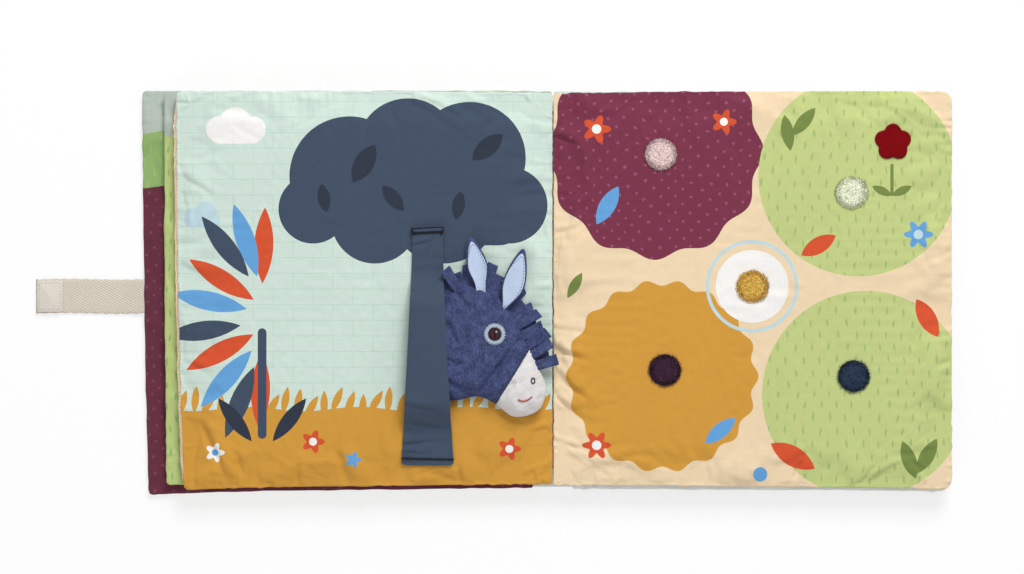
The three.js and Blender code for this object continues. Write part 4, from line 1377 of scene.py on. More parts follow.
def cut_piece(outline, low, high):
    """A flat slab of cloth, cut to a closed outline."""
    made = bmesh.new()
    face = made.faces.new([made.verts.new((p.x, p.y, low)) for p in outline])
    raised = bmesh.ops.extrude_face_region(made, geom=[face])
    top = of_kind(raised["geom"], bmesh.types.BMVert)
    bmesh.ops.translate(made, verts=top, vec=(0, 0, high - low))
    face_outwards(made)
    return made


def remesh(obj, voxel):
    """Rebuilds a piece as an even mesh that can swell and fold."""
    modifier = obj.modifiers.new("Even mesh", "REMESH")
    modifier.mode = "VOXEL"
    modifier.voxel_size = voxel
    apply_modifiers(obj)


def swell(obj, outline, middle, half, rim, roll):
    """Gives a slab a full middle and a thin rolled edge. half is its thickness from the middle up."""
    points = read_points(obj.data)
    slab = np.abs(points[:, 2] - middle).max()
    edge = np.array([(p.x, p.y) for p in outline])
    gap = distance_to(points, edge)
    step = np.minimum(gap, roll) / roll
    rise = rim / 2 + (half - rim / 2) * np.sqrt(1 - (1 - step) ** 2)
    points[:, 2] = middle + (points[:, 2] - middle) / slab * rise
    write_points(obj.data, points)
    return gap


def cut_away(made, place, normal):
    """Cuts off what lies on the side that the normal points to, and closes the cut."""
    cut = bmesh.ops.bisect_plane(
        made, geom=made.verts[:] + made.edges[:] + made.faces[:], plane_co=place, plane_no=normal,
        clear_outer=True)
    return of_kind(cut["geom_cut"], bmesh.types.BMEdge)


def fleece_finish(name, colour, pale, pile_mm=0.7):
    """Short-pile fleece with a strong soft sheen: brushed tufts whose tips are painted pale as painted
    highlights, and clumps painted lighter on their crests and darker in their hollows as painted shade.
    """
    material, tree = new_material(name)
    mm = cloth_point(tree)
    brushed = add(tree, VMATH, {0: mm, 1: (1.0, 0.45, 0.8)}, operation="MULTIPLY")
    tufts = add(tree, NOISE, {"Vector": brushed, "Scale": 1 / pile_mm, "Detail": 6.0, "Roughness": 0.7})
    clumps = add(tree, NOISE, {"Vector": mm, "Scale": 0.2, "Detail": 4.0})
    # Painted highlight: the tips of the tufts, which are high in the bump, are mixed towards the pale
    # colour.
    lit = add(tree, RANGE, {0: tufts.outputs[0], 1: 0.38, 2: 0.66, 3: 0.0, 4: 0.55})
    tips_painted_light = add(tree, MIX, {SHARE: lit, UNDER: colour, OVER: pale}, data_type="RGBA").outputs[MIXED]
    # Painted light and shade: lighter where the clumps raise the bump, darker where they sink it.
    tone_and_painted_light = shaded(tree, tips_painted_light, clumps, 0.35, 0.65, 0.74, 1.14)
    relief = add(tree, MATH, {0: clumps.outputs[0], 1: 1.2, 2: tufts.outputs[0]}, operation="MULTIPLY_ADD")
    bump = add(tree, BUMP, {"Height": relief, "Strength": 0.4, "Distance": 0.5 * MM})
    shader = add(
        tree, PRINCIPLED,
        {"Base Color": tone_and_painted_light, "Roughness": 0.95, "Normal": bump, "Sheen Weight": 0.35,
         "Sheen Roughness": 0.35, "Sheen Tint": pale, "Specular IOR Level": 0.1})
    add(tree, OUTPUT, {0: shader})
    return material


def felt_finish(name, colour, fibre_mm=0.5):
    """Pressed felt: matt, with fine tangled fibres, painted a little darker where they lie low and lighter
    where they stand up, as painted shade.
    """
    material, tree = new_material(name)
    mm = cloth_point(tree)
    fibres = add(tree, NOISE, {"Vector": mm, "Scale": 1 / fibre_mm, "Detail": 5.0, "Roughness": 0.65,
                               "Distortion": 0.6})
    drift = add(tree, NOISE, {"Vector": mm, "Scale": 0.16, "Detail": 2.0})
    faded = shaded(tree, colour, drift, 0.3, 0.7, 0.95, 1.03)
    # Painted shade: the same fibres as the bump, darker in its hollows and lighter on its tops.
    tone_and_painted_light = shaded(tree, faded, fibres, 0.3, 0.7, 0.92, 1.05)
    bump = add(tree, BUMP, {"Height": fibres.outputs[0], "Strength": 0.5, "Distance": 0.25 * MM})
    shader = add(
        tree, PRINCIPLED,
        {"Base Color": tone_and_painted_light, "Roughness": 0.95, "Normal": bump, "Sheen Weight": 0.2,
         "Sheen Roughness": 0.5, "Specular IOR Level": 0.15})
    add(tree, OUTPUT, {0: shader})
    return material


def puppet_place():
    """Corner of the puppet's outline and the heights between which it lies."""
    muzzle_low, muzzle_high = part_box("puppet_muzzle")
    head_low, head_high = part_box("puppet_head")
    corner = Vector((muzzle_high.x - PUPPET_LENGTH, muzzle_low.y))
    return corner, head_low.z, head_high.z


def puppet_outline():
    corner, _, _ = puppet_place()
    return [Vector((corner.x + x * PUPPET_LENGTH, corner.y + y * PUPPET_HEIGHT))
            for x, y in PUPPET_SHARES]


def pull_at_seam(points, place, normal, middle, depth, width):
    """Draws the cloth in along a sewn line."""
    off = (points - np.array(place)) @ np.array(normal)
    points[:, 2] = middle + (points[:, 2] - middle) * (1 - depth * np.exp(-(off / width) ** 2))


def make_puppet_head(fleece, felt):
    """The coat with its finger pocket, and the muzzle sewn to it."""
    outline = smooth_loop(puppet_outline(), 6)
    corner, low, high = puppet_place()
    middle, half = (low + high) / 2, (high - low) / 2
    whole = finish_mesh("puppet_coat", cut_piece(outline, middle - COAT_SLAB, middle + COAT_SLAB), fleece)
    remesh(whole, COAT_VOXEL)
    gap = swell(whole, outline, middle, half - COAT_ROOM, PUPPET_RIM, PUPPET_ROLL)
    hold = np.where(gap < COAT_RIM, RIM_HOLD, COAT_HOLD)
    stuff(whole, hold, COAT_STEPS, COAT_SWELL_LIMIT, COAT_SLACK, COAT_PRESSURE)

    seam = Vector((corner.x + MUZZLE_SHARES[0] * PUPPET_LENGTH,
                   corner.y + MUZZLE_SHARES[1] * PUPPET_HEIGHT, middle))
    facing = Vector((math.cos(MUZZLE_TURN), math.sin(MUZZLE_TURN), 0))
    points = read_points(whole.data)
    upper = points[:, 2] > middle
    points[:, 2] += upper * fold_lift(points, PUPPET_FOLDS) * np.minimum(gap / (3 * MM), 1)
    pull_at_seam(points, seam, facing, middle, SEAM_PULL_SHARE, SEAM_PULL_WIDTH)
    points[:, 2] += RIM_WAVE * ripple(points[:, 0] + points[:, 1], 5) * np.exp(-gap / RIM_REACH)
    points[:, 2] -= RIM_SAG * np.exp(-gap / RIM_REACH)
    points[:, 2] = np.clip(points[:, 2], low, high + 0.5 * MM)
    write_points(whole.data, points)

    made = bmesh.new()
    made.from_mesh(whole.data)
    rim = cut_away(made, seam + facing * 0.02 * MM, -facing)
    bmesh.ops.edgeloop_fill(made, edges=rim)
    face_outwards(made)
    muzzle = finish_mesh("puppet_muzzle_felt", made, felt)
    grown = read_points(muzzle.data)
    normals = np.zeros(len(muzzle.data.vertices) * 3)
    muzzle.data.vertices.foreach_get("normal", normals)
    write_points(muzzle.data, grown + normals.reshape(-1, 3) * FELT_GROWTH)

    neck_low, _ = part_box("puppet_neck")
    made = bmesh.new()
    made.from_mesh(whole.data)
    rim = cut_away(made, seam - facing * 0.02 * MM, facing)
    bmesh.ops.edgeloop_fill(made, edges=rim)
    end = Vector((neck_low.x, 0, middle))
    rim = cut_away(made, end, Vector((-1, 0, 0)))
    centre = sum((e.verts[0].co for e in rim), Vector()) / len(rim)
    for depth, wide, tall in ((0.6 * MM, 0.985, 0.8), (1.2 * MM, 0.9, 0.55), (POCKET_DEPTH, 0.5, 0.5)):
        turned_in = bmesh.ops.extrude_edge_only(made, edges=rim)["geom"]
        rim = of_kind(turned_in, bmesh.types.BMEdge)
        for vert in of_kind(turned_in, bmesh.types.BMVert):
            base = vert.co - centre
            vert.co = centre + Vector((depth if depth > 1 * MM else 0, base.y * wide, base.z * tall))
    bmesh.ops.edgeloop_fill(made, edges=rim)
    face_outwards(made)
    mesh = bpy.data.meshes.new("puppet_coat")
    made.to_mesh(mesh)
    made.free()
    smooth(mesh)
    mesh.materials.append(fleece)
    whole.data = mesh
    return whole, muzzle


def make_ear(name, fleece, felt):
    """A cupped ear of fleece with a felt lining sewn in."""
    share, turn, start, waist = EARS[name]
    corner, _, _ = puppet_place()
    root = Vector((corner.x + share[0] * PUPPET_LENGTH, corner.y + share[1] * PUPPET_HEIGHT, 0))
    low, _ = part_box("puppet_ear_" + name + "_back")
    _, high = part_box("puppet_ear_" + name + "_lining")
    place = Matrix.Translation(root) @ Matrix.Rotation(turn, 4, "Z")
    pieces = []
    outlines = {}
    for kind, margin, bottom, top, voxel in (
            ("back", 0.0, low.z + 0.6 * MM, high.z - 0.9 * MM, 0.7 * MM),
            ("lining", 1.0 * MM, high.z - 0.8 * MM, high.z + 0.3 * MM, 0.55 * MM)):
        scale = (EAR_WIDTH / 2 - margin) / (EAR_WIDTH / 2)
        flat = [Vector((x * EAR_WIDTH * scale, (0.5 + (y - 0.5) * scale) * EAR_LENGTH))
                for x, y in EAR_SHARES]
        outline = smooth_loop(flat, 6)
        outlines[kind] = outline
        ear = finish_mesh("puppet_ear_" + name + "_" + kind + "_cloth",
                          cut_piece(outline, bottom, top), fleece if kind == "back" else felt)
        remesh(ear, voxel)
        made = bmesh.new()
        made.from_mesh(ear.data)
        rim = cut_away(made, Vector((0, start * EAR_LENGTH, 0)), Vector((0, -1, 0)))
        bmesh.ops.edgeloop_fill(made, edges=rim)
        bmesh.ops.smooth_vert(made, verts=made.verts[:], factor=0.6, use_axis_x=True, use_axis_y=True,
                              use_axis_z=True)
        bend_ear(made.verts, start, waist)
        bmesh.ops.transform(made, matrix=place, verts=made.verts[:])
        face_outwards(made)
        made.to_mesh(ear.data)
        made.free()
        smooth(ear.data)
        soften(ear)
        pieces.append(ear)
    lining = surface(pieces[1])
    inset = [0.9 * p + 0.1 * Vector((0, EAR_LENGTH / 2)) for p in outlines["lining"]]
    path = []
    for p in inset:
        if p.y > start * EAR_LENGTH + 1 * MM:
            spot = place @ Vector((p.x, p.y, 0))
            hit = lining.ray_cast(Vector((spot.x, spot.y, 100 * MM)), Vector((0, 0, -1)))
            if hit[0]:
                path.append(hit[0] + Vector((0, 0, 0.05 * MM)))
    return pieces, path


def bend_ear(verts, start, waist):
    """Cups an ear, gathers it where it leaves the head and lets its tip droop."""
    for vert in verts:
        across = vert.co.x / (EAR_WIDTH / 2)
        along = vert.co.y / EAR_LENGTH
        cup = 1.6 * across ** 2 + 1.5 * max(0, across) ** 3
        root = math.exp(-max(0, along - start) / 0.09)
        vert.co.z += (cup * (1.15 - along) - 1.4 * max(0, along - 0.6) ** 2 / 0.16 - 1.6 * root) * MM
        pinch = 1 - 0.42 * math.exp(-((along - waist) / 0.17) ** 2)
        vert.co.x = vert.co.x * pinch * (1 - 0.1 * across ** 2) + 0.9 * MM * math.sin(along * 4)


def make_tabs(name, fleece):
    """A fringe of cut fleece: tabs that stand out from the seam, each with its own small curl."""
    rng = random.Random(len(name))
    first, last, count = MANE_TABS[name]
    low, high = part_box("puppet_" + name)
    middle = (low.z + high.z) / 2 - TAB_DROP
    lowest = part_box("puppet_head")[0].z + TAB_CLEARANCE
    outline = puppet_outline()
    made = bmesh.new()
    for i in range(2 * count - 1):
        under = i % 2
        spot = first + (last - first) * (i / 2 + 0.5) / count
        root = loop_point(outline, spot)
        ahead = loop_point(outline, spot + 0.05) - loop_point(outline, spot - 0.05)
        along = ahead.normalized()
        out = Vector((-along.y, along.x))
        width = TAB_WIDTH * rng.uniform(0.92, 1.06)
        length = TAB_LENGTH * rng.uniform(0.86, 1.1) * (0.72 if under else 1)
        twist = rng.choice((-1, 1)) * rng.uniform(0.5, 1.1) * MM
        lean = rng.uniform(-0.2, 0.2)
        slant = rng.uniform(-0.12, 0.12)
        lift = (rng.uniform(-0.3, 0.7) - 1.9 * under) * MM
        if EAR_SPAN[0] < spot < EAR_SPAN[1]:
            lift = min(lift, -1.6 * MM) - 0.6 * MM
        if spot < STRAP_SPAN:
            lift = min(lift, -2.4 * MM) - 0.7 * MM
        curl = rng.uniform(-0.8, 0.6) * MM
        cup = rng.uniform(-0.4, 0.9) * MM
        grid = bmesh.ops.create_grid(made, x_segments=8, y_segments=12, size=0.5)["verts"]
        for vert in grid:
            across, reach = vert.co.x, vert.co.y + 0.5
            spread = 0.9 + 0.14 * reach
            frayed = 0.25 * MM * math.sin(across * 31 + i * 2.1) * reach ** 4
            place = (root + along * (across * width * spread + lean * reach * length)
                     + out * (-TAB_ROOT + (length * (1 + slant * across) + TAB_ROOT) * reach + frayed))
            z = middle + lift * min(1, reach * 2) + curl * reach ** 2
            z += (cup * (across * 2) ** 2 + twist * across * 2) * reach
            vert.co = (place.x, place.y, max(z, lowest))
    face_outwards(made)
    tabs = finish_mesh("puppet_" + name + "_fringe", made, fleece)
    thicken(tabs, TAB_CLOTH)
    round_edges(tabs, "Cut edge", TAB_ROUND, 1)
    soften(tabs)
    return tabs


def make_eye(head):
    """A plain round eye in satin stitch, with a pale ring of stitches round it and a pale stitch on it as a
    painted highlight.
    """
    low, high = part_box("puppet_eye")
    centre = (low + high) / 2
    radius = (high.x - low.x) / 2
    dark = thread_finish("Rayon thread brown", linear("#3d0f16"), 0.35)
    pale = thread_finish("Rayon thread ice", linear("#b9c5d4"), 0.45)
    made = bmesh.new()
    for i in range(EYE_THREADS):
        across = (2 * i + 1 - EYE_THREADS) / EYE_THREADS
        reach = radius * math.sqrt(1 - across ** 2)
        y = centre.y + across * radius
        z = height_at(head, centre.x, y) + 0.45 * MM * (1 - across ** 2) + 0.1 * MM
        for part in (-1, 1):
            middle_point = Vector((centre.x, y, z + 0.25 * MM))
            lay_stitch(made, middle_point - Vector((part * 0.3 * MM, 0, 0)),
                       Vector((centre.x + part * reach, y, z - 0.05 * MM)), 0.62 * MM)
    pupil = finish_mesh("puppet_eye_satin", made, dark)
    made = bmesh.new()
    for i in range(EYE_SPOKES):
        turn = 2 * math.pi * i / EYE_SPOKES
        spoke = Vector((math.cos(turn), math.sin(turn), 0))
        inner = centre + spoke * radius * 0.98
        outer = centre + spoke * (radius + EYE_RING * (0.95 + 0.08 * (i % 2)))
        inner.z = height_at(head, inner.x, inner.y) + 0.35 * MM
        outer.z = height_at(head, outer.x, outer.y) + 0.15 * MM
        lay_stitch(made, inner, outer, 0.8 * MM)
    # A painted highlight: a pale stitch that stands for a glint on the eye.
    shine = centre + Vector((0.9, 1.2, 0)) * MM
    shine.z = height_at(head, shine.x, shine.y) + 0.95 * MM
    lay_stitch(made, shine - Vector((0.7 * MM, 0, 0)), shine + Vector((0.7 * MM, 0.1 * MM, 0)), 1.3 * MM)
    return pupil, finish_mesh("puppet_eye_ring", made, pale)


NOSTRIL_SHARES = (0.93, 0.27)
NOSTRIL_HALF = (1.1 * MM, 1.9 * MM)
NOSTRIL_STEPS = 12
MOUTH_START_SHARES = (0.845, 0.115)
MOUTH_STEP_SHARE = 0.016
MOUTH_BOW_SHARE = 0.004
MOUTH_POINTS = 6
FACE_THREAD_RISE = 0.3 * MM


def sew_nostril(face, corner):
    """A small upright ring of thread on the muzzle."""
    centre = corner + Vector((NOSTRIL_SHARES[0] * PUPPET_LENGTH, NOSTRIL_SHARES[1] * PUPPET_HEIGHT))
    made = bmesh.new()
    path = []
    for i in range(NOSTRIL_STEPS + 1):
        turn = 2 * math.pi * i / NOSTRIL_STEPS
        x, y = centre.x + NOSTRIL_HALF[0] * math.cos(turn), centre.y + NOSTRIL_HALF[1] * math.sin(turn)
        path.append(Vector((x, y, height_at(face, x, y) + FACE_THREAD_RISE)))
    lay_seam(made, path, 1.3 * MM, 0.85 * MM, -0.4)
    finish_stitches("puppet_nostril", made, "puppet", "dark_thread", "Polyester thread grey", "#3f4350")


def sew_mouth(face, corner):
    """A short bowed row of thread under the nostril."""
    made = bmesh.new()
    path = []
    for i in range(MOUTH_POINTS):
        x = corner.x + (MOUTH_START_SHARES[0] + MOUTH_STEP_SHARE * i) * PUPPET_LENGTH
        y = corner.y + (MOUTH_START_SHARES[1] + MOUTH_BOW_SHARE * (i - 2) ** 2) * PUPPET_HEIGHT
        path.append(Vector((x, y, height_at(face, x, y) + FACE_THREAD_RISE)))
    lay_seam(made, path, 1.5 * MM, 0.9 * MM, -0.4)
    finish_stitches("puppet_mouth", made, "puppet", "rose_thread", "Polyester thread coral", "#b8452f")


class CLOTHBOOK_OT_puppet(bpy.types.Operator):
    """Make the finger puppet, a plain pony's head of fleece and felt"""

    bl_idname = "cloth_book.puppet"
    bl_label = "Finger puppet"

    def execute(self, context):
        # The pale colour tints the sheen and is also the colour of the painted highlights on the tufts'
        # tips.
        fleece = fleece_finish("Fleece indigo", paint("fleece"), linear("#6a7199"))
        lining = felt_finish("Felt ice blue", paint("felt"))
        cream = felt_finish("Felt cream", paint("cream"), 0.8)
        coat, muzzle = make_puppet_head(fleece, cream)
        soften(coat)
        soften(muzzle)
        dress(coat, "puppet", "indigo_fleece", "puppet_head", "puppet_neck")
        dress(muzzle, "puppet", "cream_felt", "puppet_muzzle")
        sewn = bmesh.new()
        for name in EARS:
            (back, inside), path = make_ear(name, fleece, lining)
            dress(back, "puppet", "indigo_fleece", "puppet_ear_" + name + "_back")
            dress(inside, "puppet", "blue_felt", "puppet_ear_" + name + "_lining")
            lay_seam(sewn, path, 1.8 * MM, 0.55 * MM, 0.2)
        head = surface(coat)
        face = surface(muzzle)
        finish_stitches("puppet_ear_stitches", sewn, "puppet", "blue_felt",
                        "Polyester thread sky", "#8897bd")
        for name in MANE_TABS:
            dress(make_tabs(name, fleece), "puppet", "indigo_fleece", "puppet_" + name)
        pupil, ring_piece = make_eye(head)
        dress(pupil, "puppet", "dark_thread", "puppet_eye")
        dress(ring_piece, "puppet", "blue_felt")
        corner, _, _ = puppet_place()
        sew_nostril(face, corner)
        sew_mouth(face, corner)
        return {"FINISHED"}


# Touch discs and the velvet flower on the right page

DISC_THREADS = {
    "rose": ("#f8e4e1", 0.1), "cream": ("#f9fde6", 0.1), "ochre": ("#ffd466", 0.5),
    "plum": ("#46233b", 0.5), "navy": ("#2d4160", 0.5),
}
DISC_LOOPS = 560
GOLDEN_TURN = 2.39996
LOOP_SIDES = 4
LOOP_STEPS = 7
LOOP_THREAD = 0.5 * MM
LOOP_MARGIN = 0.3 * MM
DOME_SHARE = 0.94
DOME_HEIGHT = 1.0 * MM


def loop_template(height, thread):
    """One loop of thread, bent over a half circle and a little more."""
    made = bmesh.new()
    bmesh.ops.create_circle(
        made, segments=LOOP_SIDES, radius=thread / 2,
        matrix=Matrix.Translation((height * 0.5, 0, 0)) @ Matrix.Rotation(math.pi / 2, 4, "X"))
    bmesh.ops.rotate(made, verts=made.verts[:], cent=(0, 0, 0), matrix=Matrix.Rotation(0.5, 3, "Y"))
    bmesh.ops.spin(
        made, geom=made.verts[:] + made.edges[:], cent=(0, 0, 0), axis=(0, -1, 0), dvec=(0, 0, 0),
        angle=math.pi + 1.0, steps=LOOP_STEPS, use_merge=False, use_duplicate=False)
    bmesh.ops.holes_fill(made, edges=made.edges[:])
    face_outwards(made)
    mesh = bpy.data.meshes.new("loop")
    made.to_mesh(mesh)
    made.free()
    return mesh


def place_copy(made, mesh, matrix):
    before = len(made.verts)
    made.from_mesh(mesh)
    made.verts.ensure_lookup_table()
    bmesh.ops.transform(made, matrix=matrix, verts=made.verts[before:])


def make_disc(name, page, loop):
    """Loops all over a low dome and past its edge, so that its rim is soft."""
    rng = random.Random(name)
    low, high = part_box("touch_disc_" + name)
    centre = (low + high) / 2
    radius = (high.x - low.x) / 2 - LOOP_MARGIN
    made = bmesh.new()
    dome = DOME_SHARE * radius
    bmesh.ops.create_circle(made, cap_ends=True, cap_tris=True, segments=40, radius=dome)
    bmesh.ops.subdivide_edges(made, edges=made.edges[:], cuts=2, use_grid_fill=True)
    for vert in made.verts:
        share = math.hypot(vert.co.x, vert.co.y) / dome
        x, y = centre.x + vert.co.x, centre.y + vert.co.y
        vert.co = (x, y, height_at(page, x, y) + DOME_HEIGHT * math.sqrt(max(0, 1 - share ** 8)))
    face_outwards(made)
    if made.faces[0].normal.z < 0:
        bmesh.ops.reverse_faces(made, faces=made.faces[:])
    for i in range(DISC_LOOPS):
        share = math.sqrt((i + 0.5) / DISC_LOOPS) * rng.uniform(0.97, 1.03)
        turn = GOLDEN_TURN * i
        x = centre.x + radius * share * math.cos(turn)
        y = centre.y + radius * share * math.sin(turn)
        z = height_at(page, x, y) + (0.85 - 0.45 * share ** 8) * MM
        matrix = (Matrix.Translation((x, y, z)) @ Matrix.Rotation(rng.uniform(0, math.pi), 4, "Z")
                  @ Matrix.Rotation(rng.uniform(-0.5, 0.5), 4, "X")
                  @ Matrix.Scale(rng.uniform(0.8, 1.15), 4))
        place_copy(made, loop, matrix)
    return made


class CLOTHBOOK_OT_discs(bpy.types.Operator):
    """Make the five touch discs of looped thread"""

    bl_idname = "cloth_book.discs"
    bl_label = "Touch discs"

    def execute(self, context):
        page = surface(bpy.data.objects["leaf_3_pad"])
        loop = loop_template(sizes().pile, LOOP_THREAD)
        for name, (colour, glow) in DISC_THREADS.items():
            thread = thread_finish("Looped cotton thread " + name, linear(colour), 0.75, 0.98, glow)
            piece = finish_mesh("touch_disc_" + name + "_loops", make_disc(name, page, loop), thread)
            dress(piece, "leaf_3", name + "_thread", "touch_disc_" + name)
        return {"FINISHED"}


FLOWER_PETALS = 5
FLOWER_POINTS = 90
PETAL_DEPTH = 2.2 * MM
VELVET_THICKNESS = 1.2 * MM
VELVET_VOXEL = 0.45 * MM
VELVET_GAP = 0.05 * MM
FLOWER_SEAM_SHARE = 0.9


def velvet_finish(colour):
    """Cotton velvet: dark where the pile is seen end on, with a bright soft rim."""
    material, tree = new_material("Velvet dark red")
    mm = cloth_point(tree)
    pile = add(tree, NOISE, {"Vector": mm, "Scale": 3.2, "Detail": 4.0})
    brushed = add(tree, NOISE, {"Vector": mm, "Scale": 0.25, "Detail": 2.0})
    tone_and_painted_light = shaded(tree, colour, brushed, 0.35, 0.65, 0.93, 1.06)
    bump = add(tree, BUMP, {"Height": pile.outputs[0], "Strength": 0.25, "Distance": 0.2 * MM})
    shader = add(
        tree, PRINCIPLED,
        {"Base Color": tone_and_painted_light, "Roughness": 0.9, "Normal": bump, "Sheen Weight": 0.5,
         "Sheen Roughness": 0.3, "Sheen Tint": linear("#ff8a80"), "Specular IOR Level": 0.1})
    add(tree, OUTPUT, {0: shader})
    return material


class CLOTHBOOK_OT_flower(bpy.types.Operator):
    """Make the velvet flower sewn on the right page"""

    bl_idname = "cloth_book.flower"
    bl_label = "Velvet flower"

    def execute(self, context):
        low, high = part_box("velvet_flower")
        centre = (low + high) / 2
        radius = (high.y - low.y) / 2
        page = surface(bpy.data.objects["leaf_3_pad"])
        outline = []
        for i in range(FLOWER_POINTS):
            turn = 2 * math.pi * i / FLOWER_POINTS
            reach = radius - PETAL_DEPTH * (1 - abs(math.cos(FLOWER_PETALS * (turn - math.pi / 2) / 2)))
            outline.append(Vector((centre.x + reach * math.cos(turn), centre.y + reach * math.sin(turn))))
        patch = finish_mesh("velvet_flower_patch", cut_piece(outline, 0, VELVET_THICKNESS),
                            velvet_finish(paint("velvet")))
        remesh(patch, VELVET_VOXEL)
        points = read_points(patch.data)
        edge = np.array([(p.x, p.y) for p in outline])
        gap = distance_to(points, edge)
        for i, (x, y, z) in enumerate(points):
            worn = 0.55 + 0.45 * math.sqrt(min(1, gap[i] / VELVET_THICKNESS))
            points[i, 2] = height_at(page, x, y) + VELVET_GAP + z * worn
        write_points(patch.data, points)
        dress(patch, "leaf_3", "red_velvet", "velvet_flower")
        made = bmesh.new()
        top = surface(patch)
        path = []
        heart = Vector((centre.x, centre.y))
        for p in [*outline, outline[0]]:
            inset = heart + (p - heart) * FLOWER_SEAM_SHARE
            path.append(Vector((inset.x, inset.y, height_at(top, inset.x, inset.y) + VELVET_GAP)))
        lay_seam(made, path, 1.7 * MM, 0.42 * MM, 0.3)
        finish_stitches("velvet_flower_stitches", made, "leaf_3", "red_velvet",
                        "Polyester thread wine", "#5f0710")
        return {"FINISHED"}


# The closing tape

TAPE_SEAM_HEIGHT = 1.15 * MM
TAPE_DROP = 12 * MM
TAPE_TUCK = 2.2 * MM
TWILL_PITCH = 1.5
TAPE_ROWS = 24
TAPE_STEP = 1 * MM
TAPE_WAVE = 0.12 * MM
TAPE_FREE_END = 0.8 * MM
HOOKS_PER_MM = 1.6
PATCH_CORNER = 1.2 * MM
PATCH_ROUND = 0.22 * MM
PATCH_SEAM_INSET = 1.3 * MM


def twill_finish(colour):
    """Cotton tape in heavy twill: slanting ridges across its whole width, 1.5 mm apart, with painted shade
    in the grooves and painted light on the ridges.
    """
    material, tree = new_material("Cotton twill tape")
    mm = cloth_point(tree)
    loose = wander(tree, mm, 1.2)
    slant = add(tree, VMATH, {0: loose, 1: (0.62, 1.0, 0)}, operation="DOT_PRODUCT").outputs["Value"]
    phase = add(tree, MATH, {0: slant, 1: 2 * math.pi / TWILL_PITCH}, operation="MULTIPLY")
    ridge = add(tree, MATH, {0: phase}, operation="SINE")
    slubs = add(tree, NOISE, {"Vector": mm, "Scale": 1.1, "Detail": 3.0})
    height = add(tree, MATH, {0: slubs.outputs[0], 1: 1.6, 2: ridge}, operation="MULTIPLY_ADD")
    # Painted shade: the twill's height darkens the grooves and low slubs and lightens the ridges.
    tone_and_painted_light = shaded(tree, colour, height, -0.3, 1.5, 0.92, 1.03)
    bump = add(tree, BUMP, {"Height": height, "Strength": 0.5, "Distance": 0.2 * MM})
    shader = add(
        tree, PRINCIPLED,
        {"Base Color": tone_and_painted_light, "Roughness": 0.85, "Normal": bump, "Sheen Weight": 0.1,
         "Sheen Roughness": 0.5, "Specular IOR Level": 0.2})
    add(tree, OUTPUT, {0: shader})
    return material


def tape_strip(name, from_x, to_x, width, middle, height, thickness, material, free_end):
    """A length of tape along X with thin selvedges, open at its ends unless one is a free end.

    height gives its underside at an x."""
    made = bmesh.new()
    columns = round((to_x - from_x) / TAPE_STEP)
    bmesh.ops.create_grid(made, x_segments=columns, y_segments=TAPE_ROWS, size=0.5)
    upper = made.verts[:]
    copied = bmesh.ops.duplicate(made, geom=made.faces[:])
    lower = of_kind(copied["geom"], bmesh.types.BMVert)
    for group, sign in ((upper, 1), (lower, -1)):
        for vert in group:
            x = from_x + (vert.co.x + 0.5) * (to_x - from_x)
            side = math.sin(vert.co.y * math.pi)
            rise = math.sqrt(max(0, 1 - side ** 10))
            if free_end:
                rise *= math.sqrt(max(0, 1 - max(0, 1 - (x - from_x) / TAPE_FREE_END) ** 2))
            wander_y = 0.25 * math.sin(x / (9 * MM)) + 0.16 * math.sin(x / (0.9 * MM)) * side
            y = middle + side * width / 2 + wander_y * MM * side ** 2
            vert.co = (x, y, height(x) + thickness / 2 + sign * rise * thickness / 2)
    bmesh.ops.remove_doubles(made, verts=made.verts[:], dist=WELD)
    face_outwards(made)
    return finish_mesh(name, made, material)


def hook_finish():
    """Soft hook tape: fine rows of short plastic hooks on a woven ground, with painted light on the hooks
    and painted shade between them.
    """
    material, tree = new_material("Hook and loop tape")
    place = add(tree, "ShaderNodeTexCoord").outputs["Object"]
    mm = add(tree, VMATH, {0: place, 1: (HOOKS_PER_MM / MM,) * 3}, operation="MULTIPLY")
    dots = add(tree, "ShaderNodeTexVoronoi", {"Vector": mm, "Scale": 1.0, "Randomness": 0.5})
    # Painted light and shade: lighter on the raised hooks, darker on the low ground between them.
    tone_and_painted_light = shaded(tree, linear("#e4ddd2"), dots.outputs["Distance"], 0.1, 0.6, 1.05, 0.88)
    bump = add(tree, BUMP, {"Height": dots.outputs["Distance"], "Strength": 0.5, "Distance": 0.3 * MM},
               invert=True)
    shader = add(
        tree, PRINCIPLED,
        {"Base Color": tone_and_painted_light, "Roughness": 0.7, "Normal": bump, "Specular IOR Level": 0.3})
    add(tree, OUTPUT, {0: shader})
    return material


def make_tape():
    """The tape in two lengths, of which the far one bends again round the closed book; here both keep the
    shape they have with the book open.
    """
    band_low, band_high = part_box("closure_tape_band")
    end_low, end_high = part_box("closure_tape_end")
    thickness = end_high.z
    width = band_high.y - band_low.y
    middle = (band_low.y + band_high.y) / 2
    cloth = twill_finish(paint("tape"))

    def height(x):
        t = min(max((band_high.x - x) / TAPE_DROP, 0), 1)
        rest = TAPE_WAVE * math.sin(x / (11 * MM)) ** 2
        return TAPE_SEAM_HEIGHT * (1 - ease(t)) + rest * t

    halfway = (band_low.x + band_high.x) / 2
    near = tape_strip("closing_tape_near", halfway, band_high.x + TAPE_TUCK, width, middle, height,
                      thickness, cloth, False)
    far = tape_strip("closing_tape_far", end_low.x, halfway, width, middle, height,
                     thickness, cloth, True)
    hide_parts("closure_tape_band")
    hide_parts("closure_tape_end")
    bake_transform(near)
    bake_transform(far)


def rectangle(low, high, inset, z):
    """The corners of a box seen from above, moved in by an inset."""
    left, right, foot, head = low.x + inset, high.x - inset, low.y + inset, high.y - inset
    return [Vector((x, y, z)) for x, y in ((left, foot), (right, foot), (right, head), (left, head))]


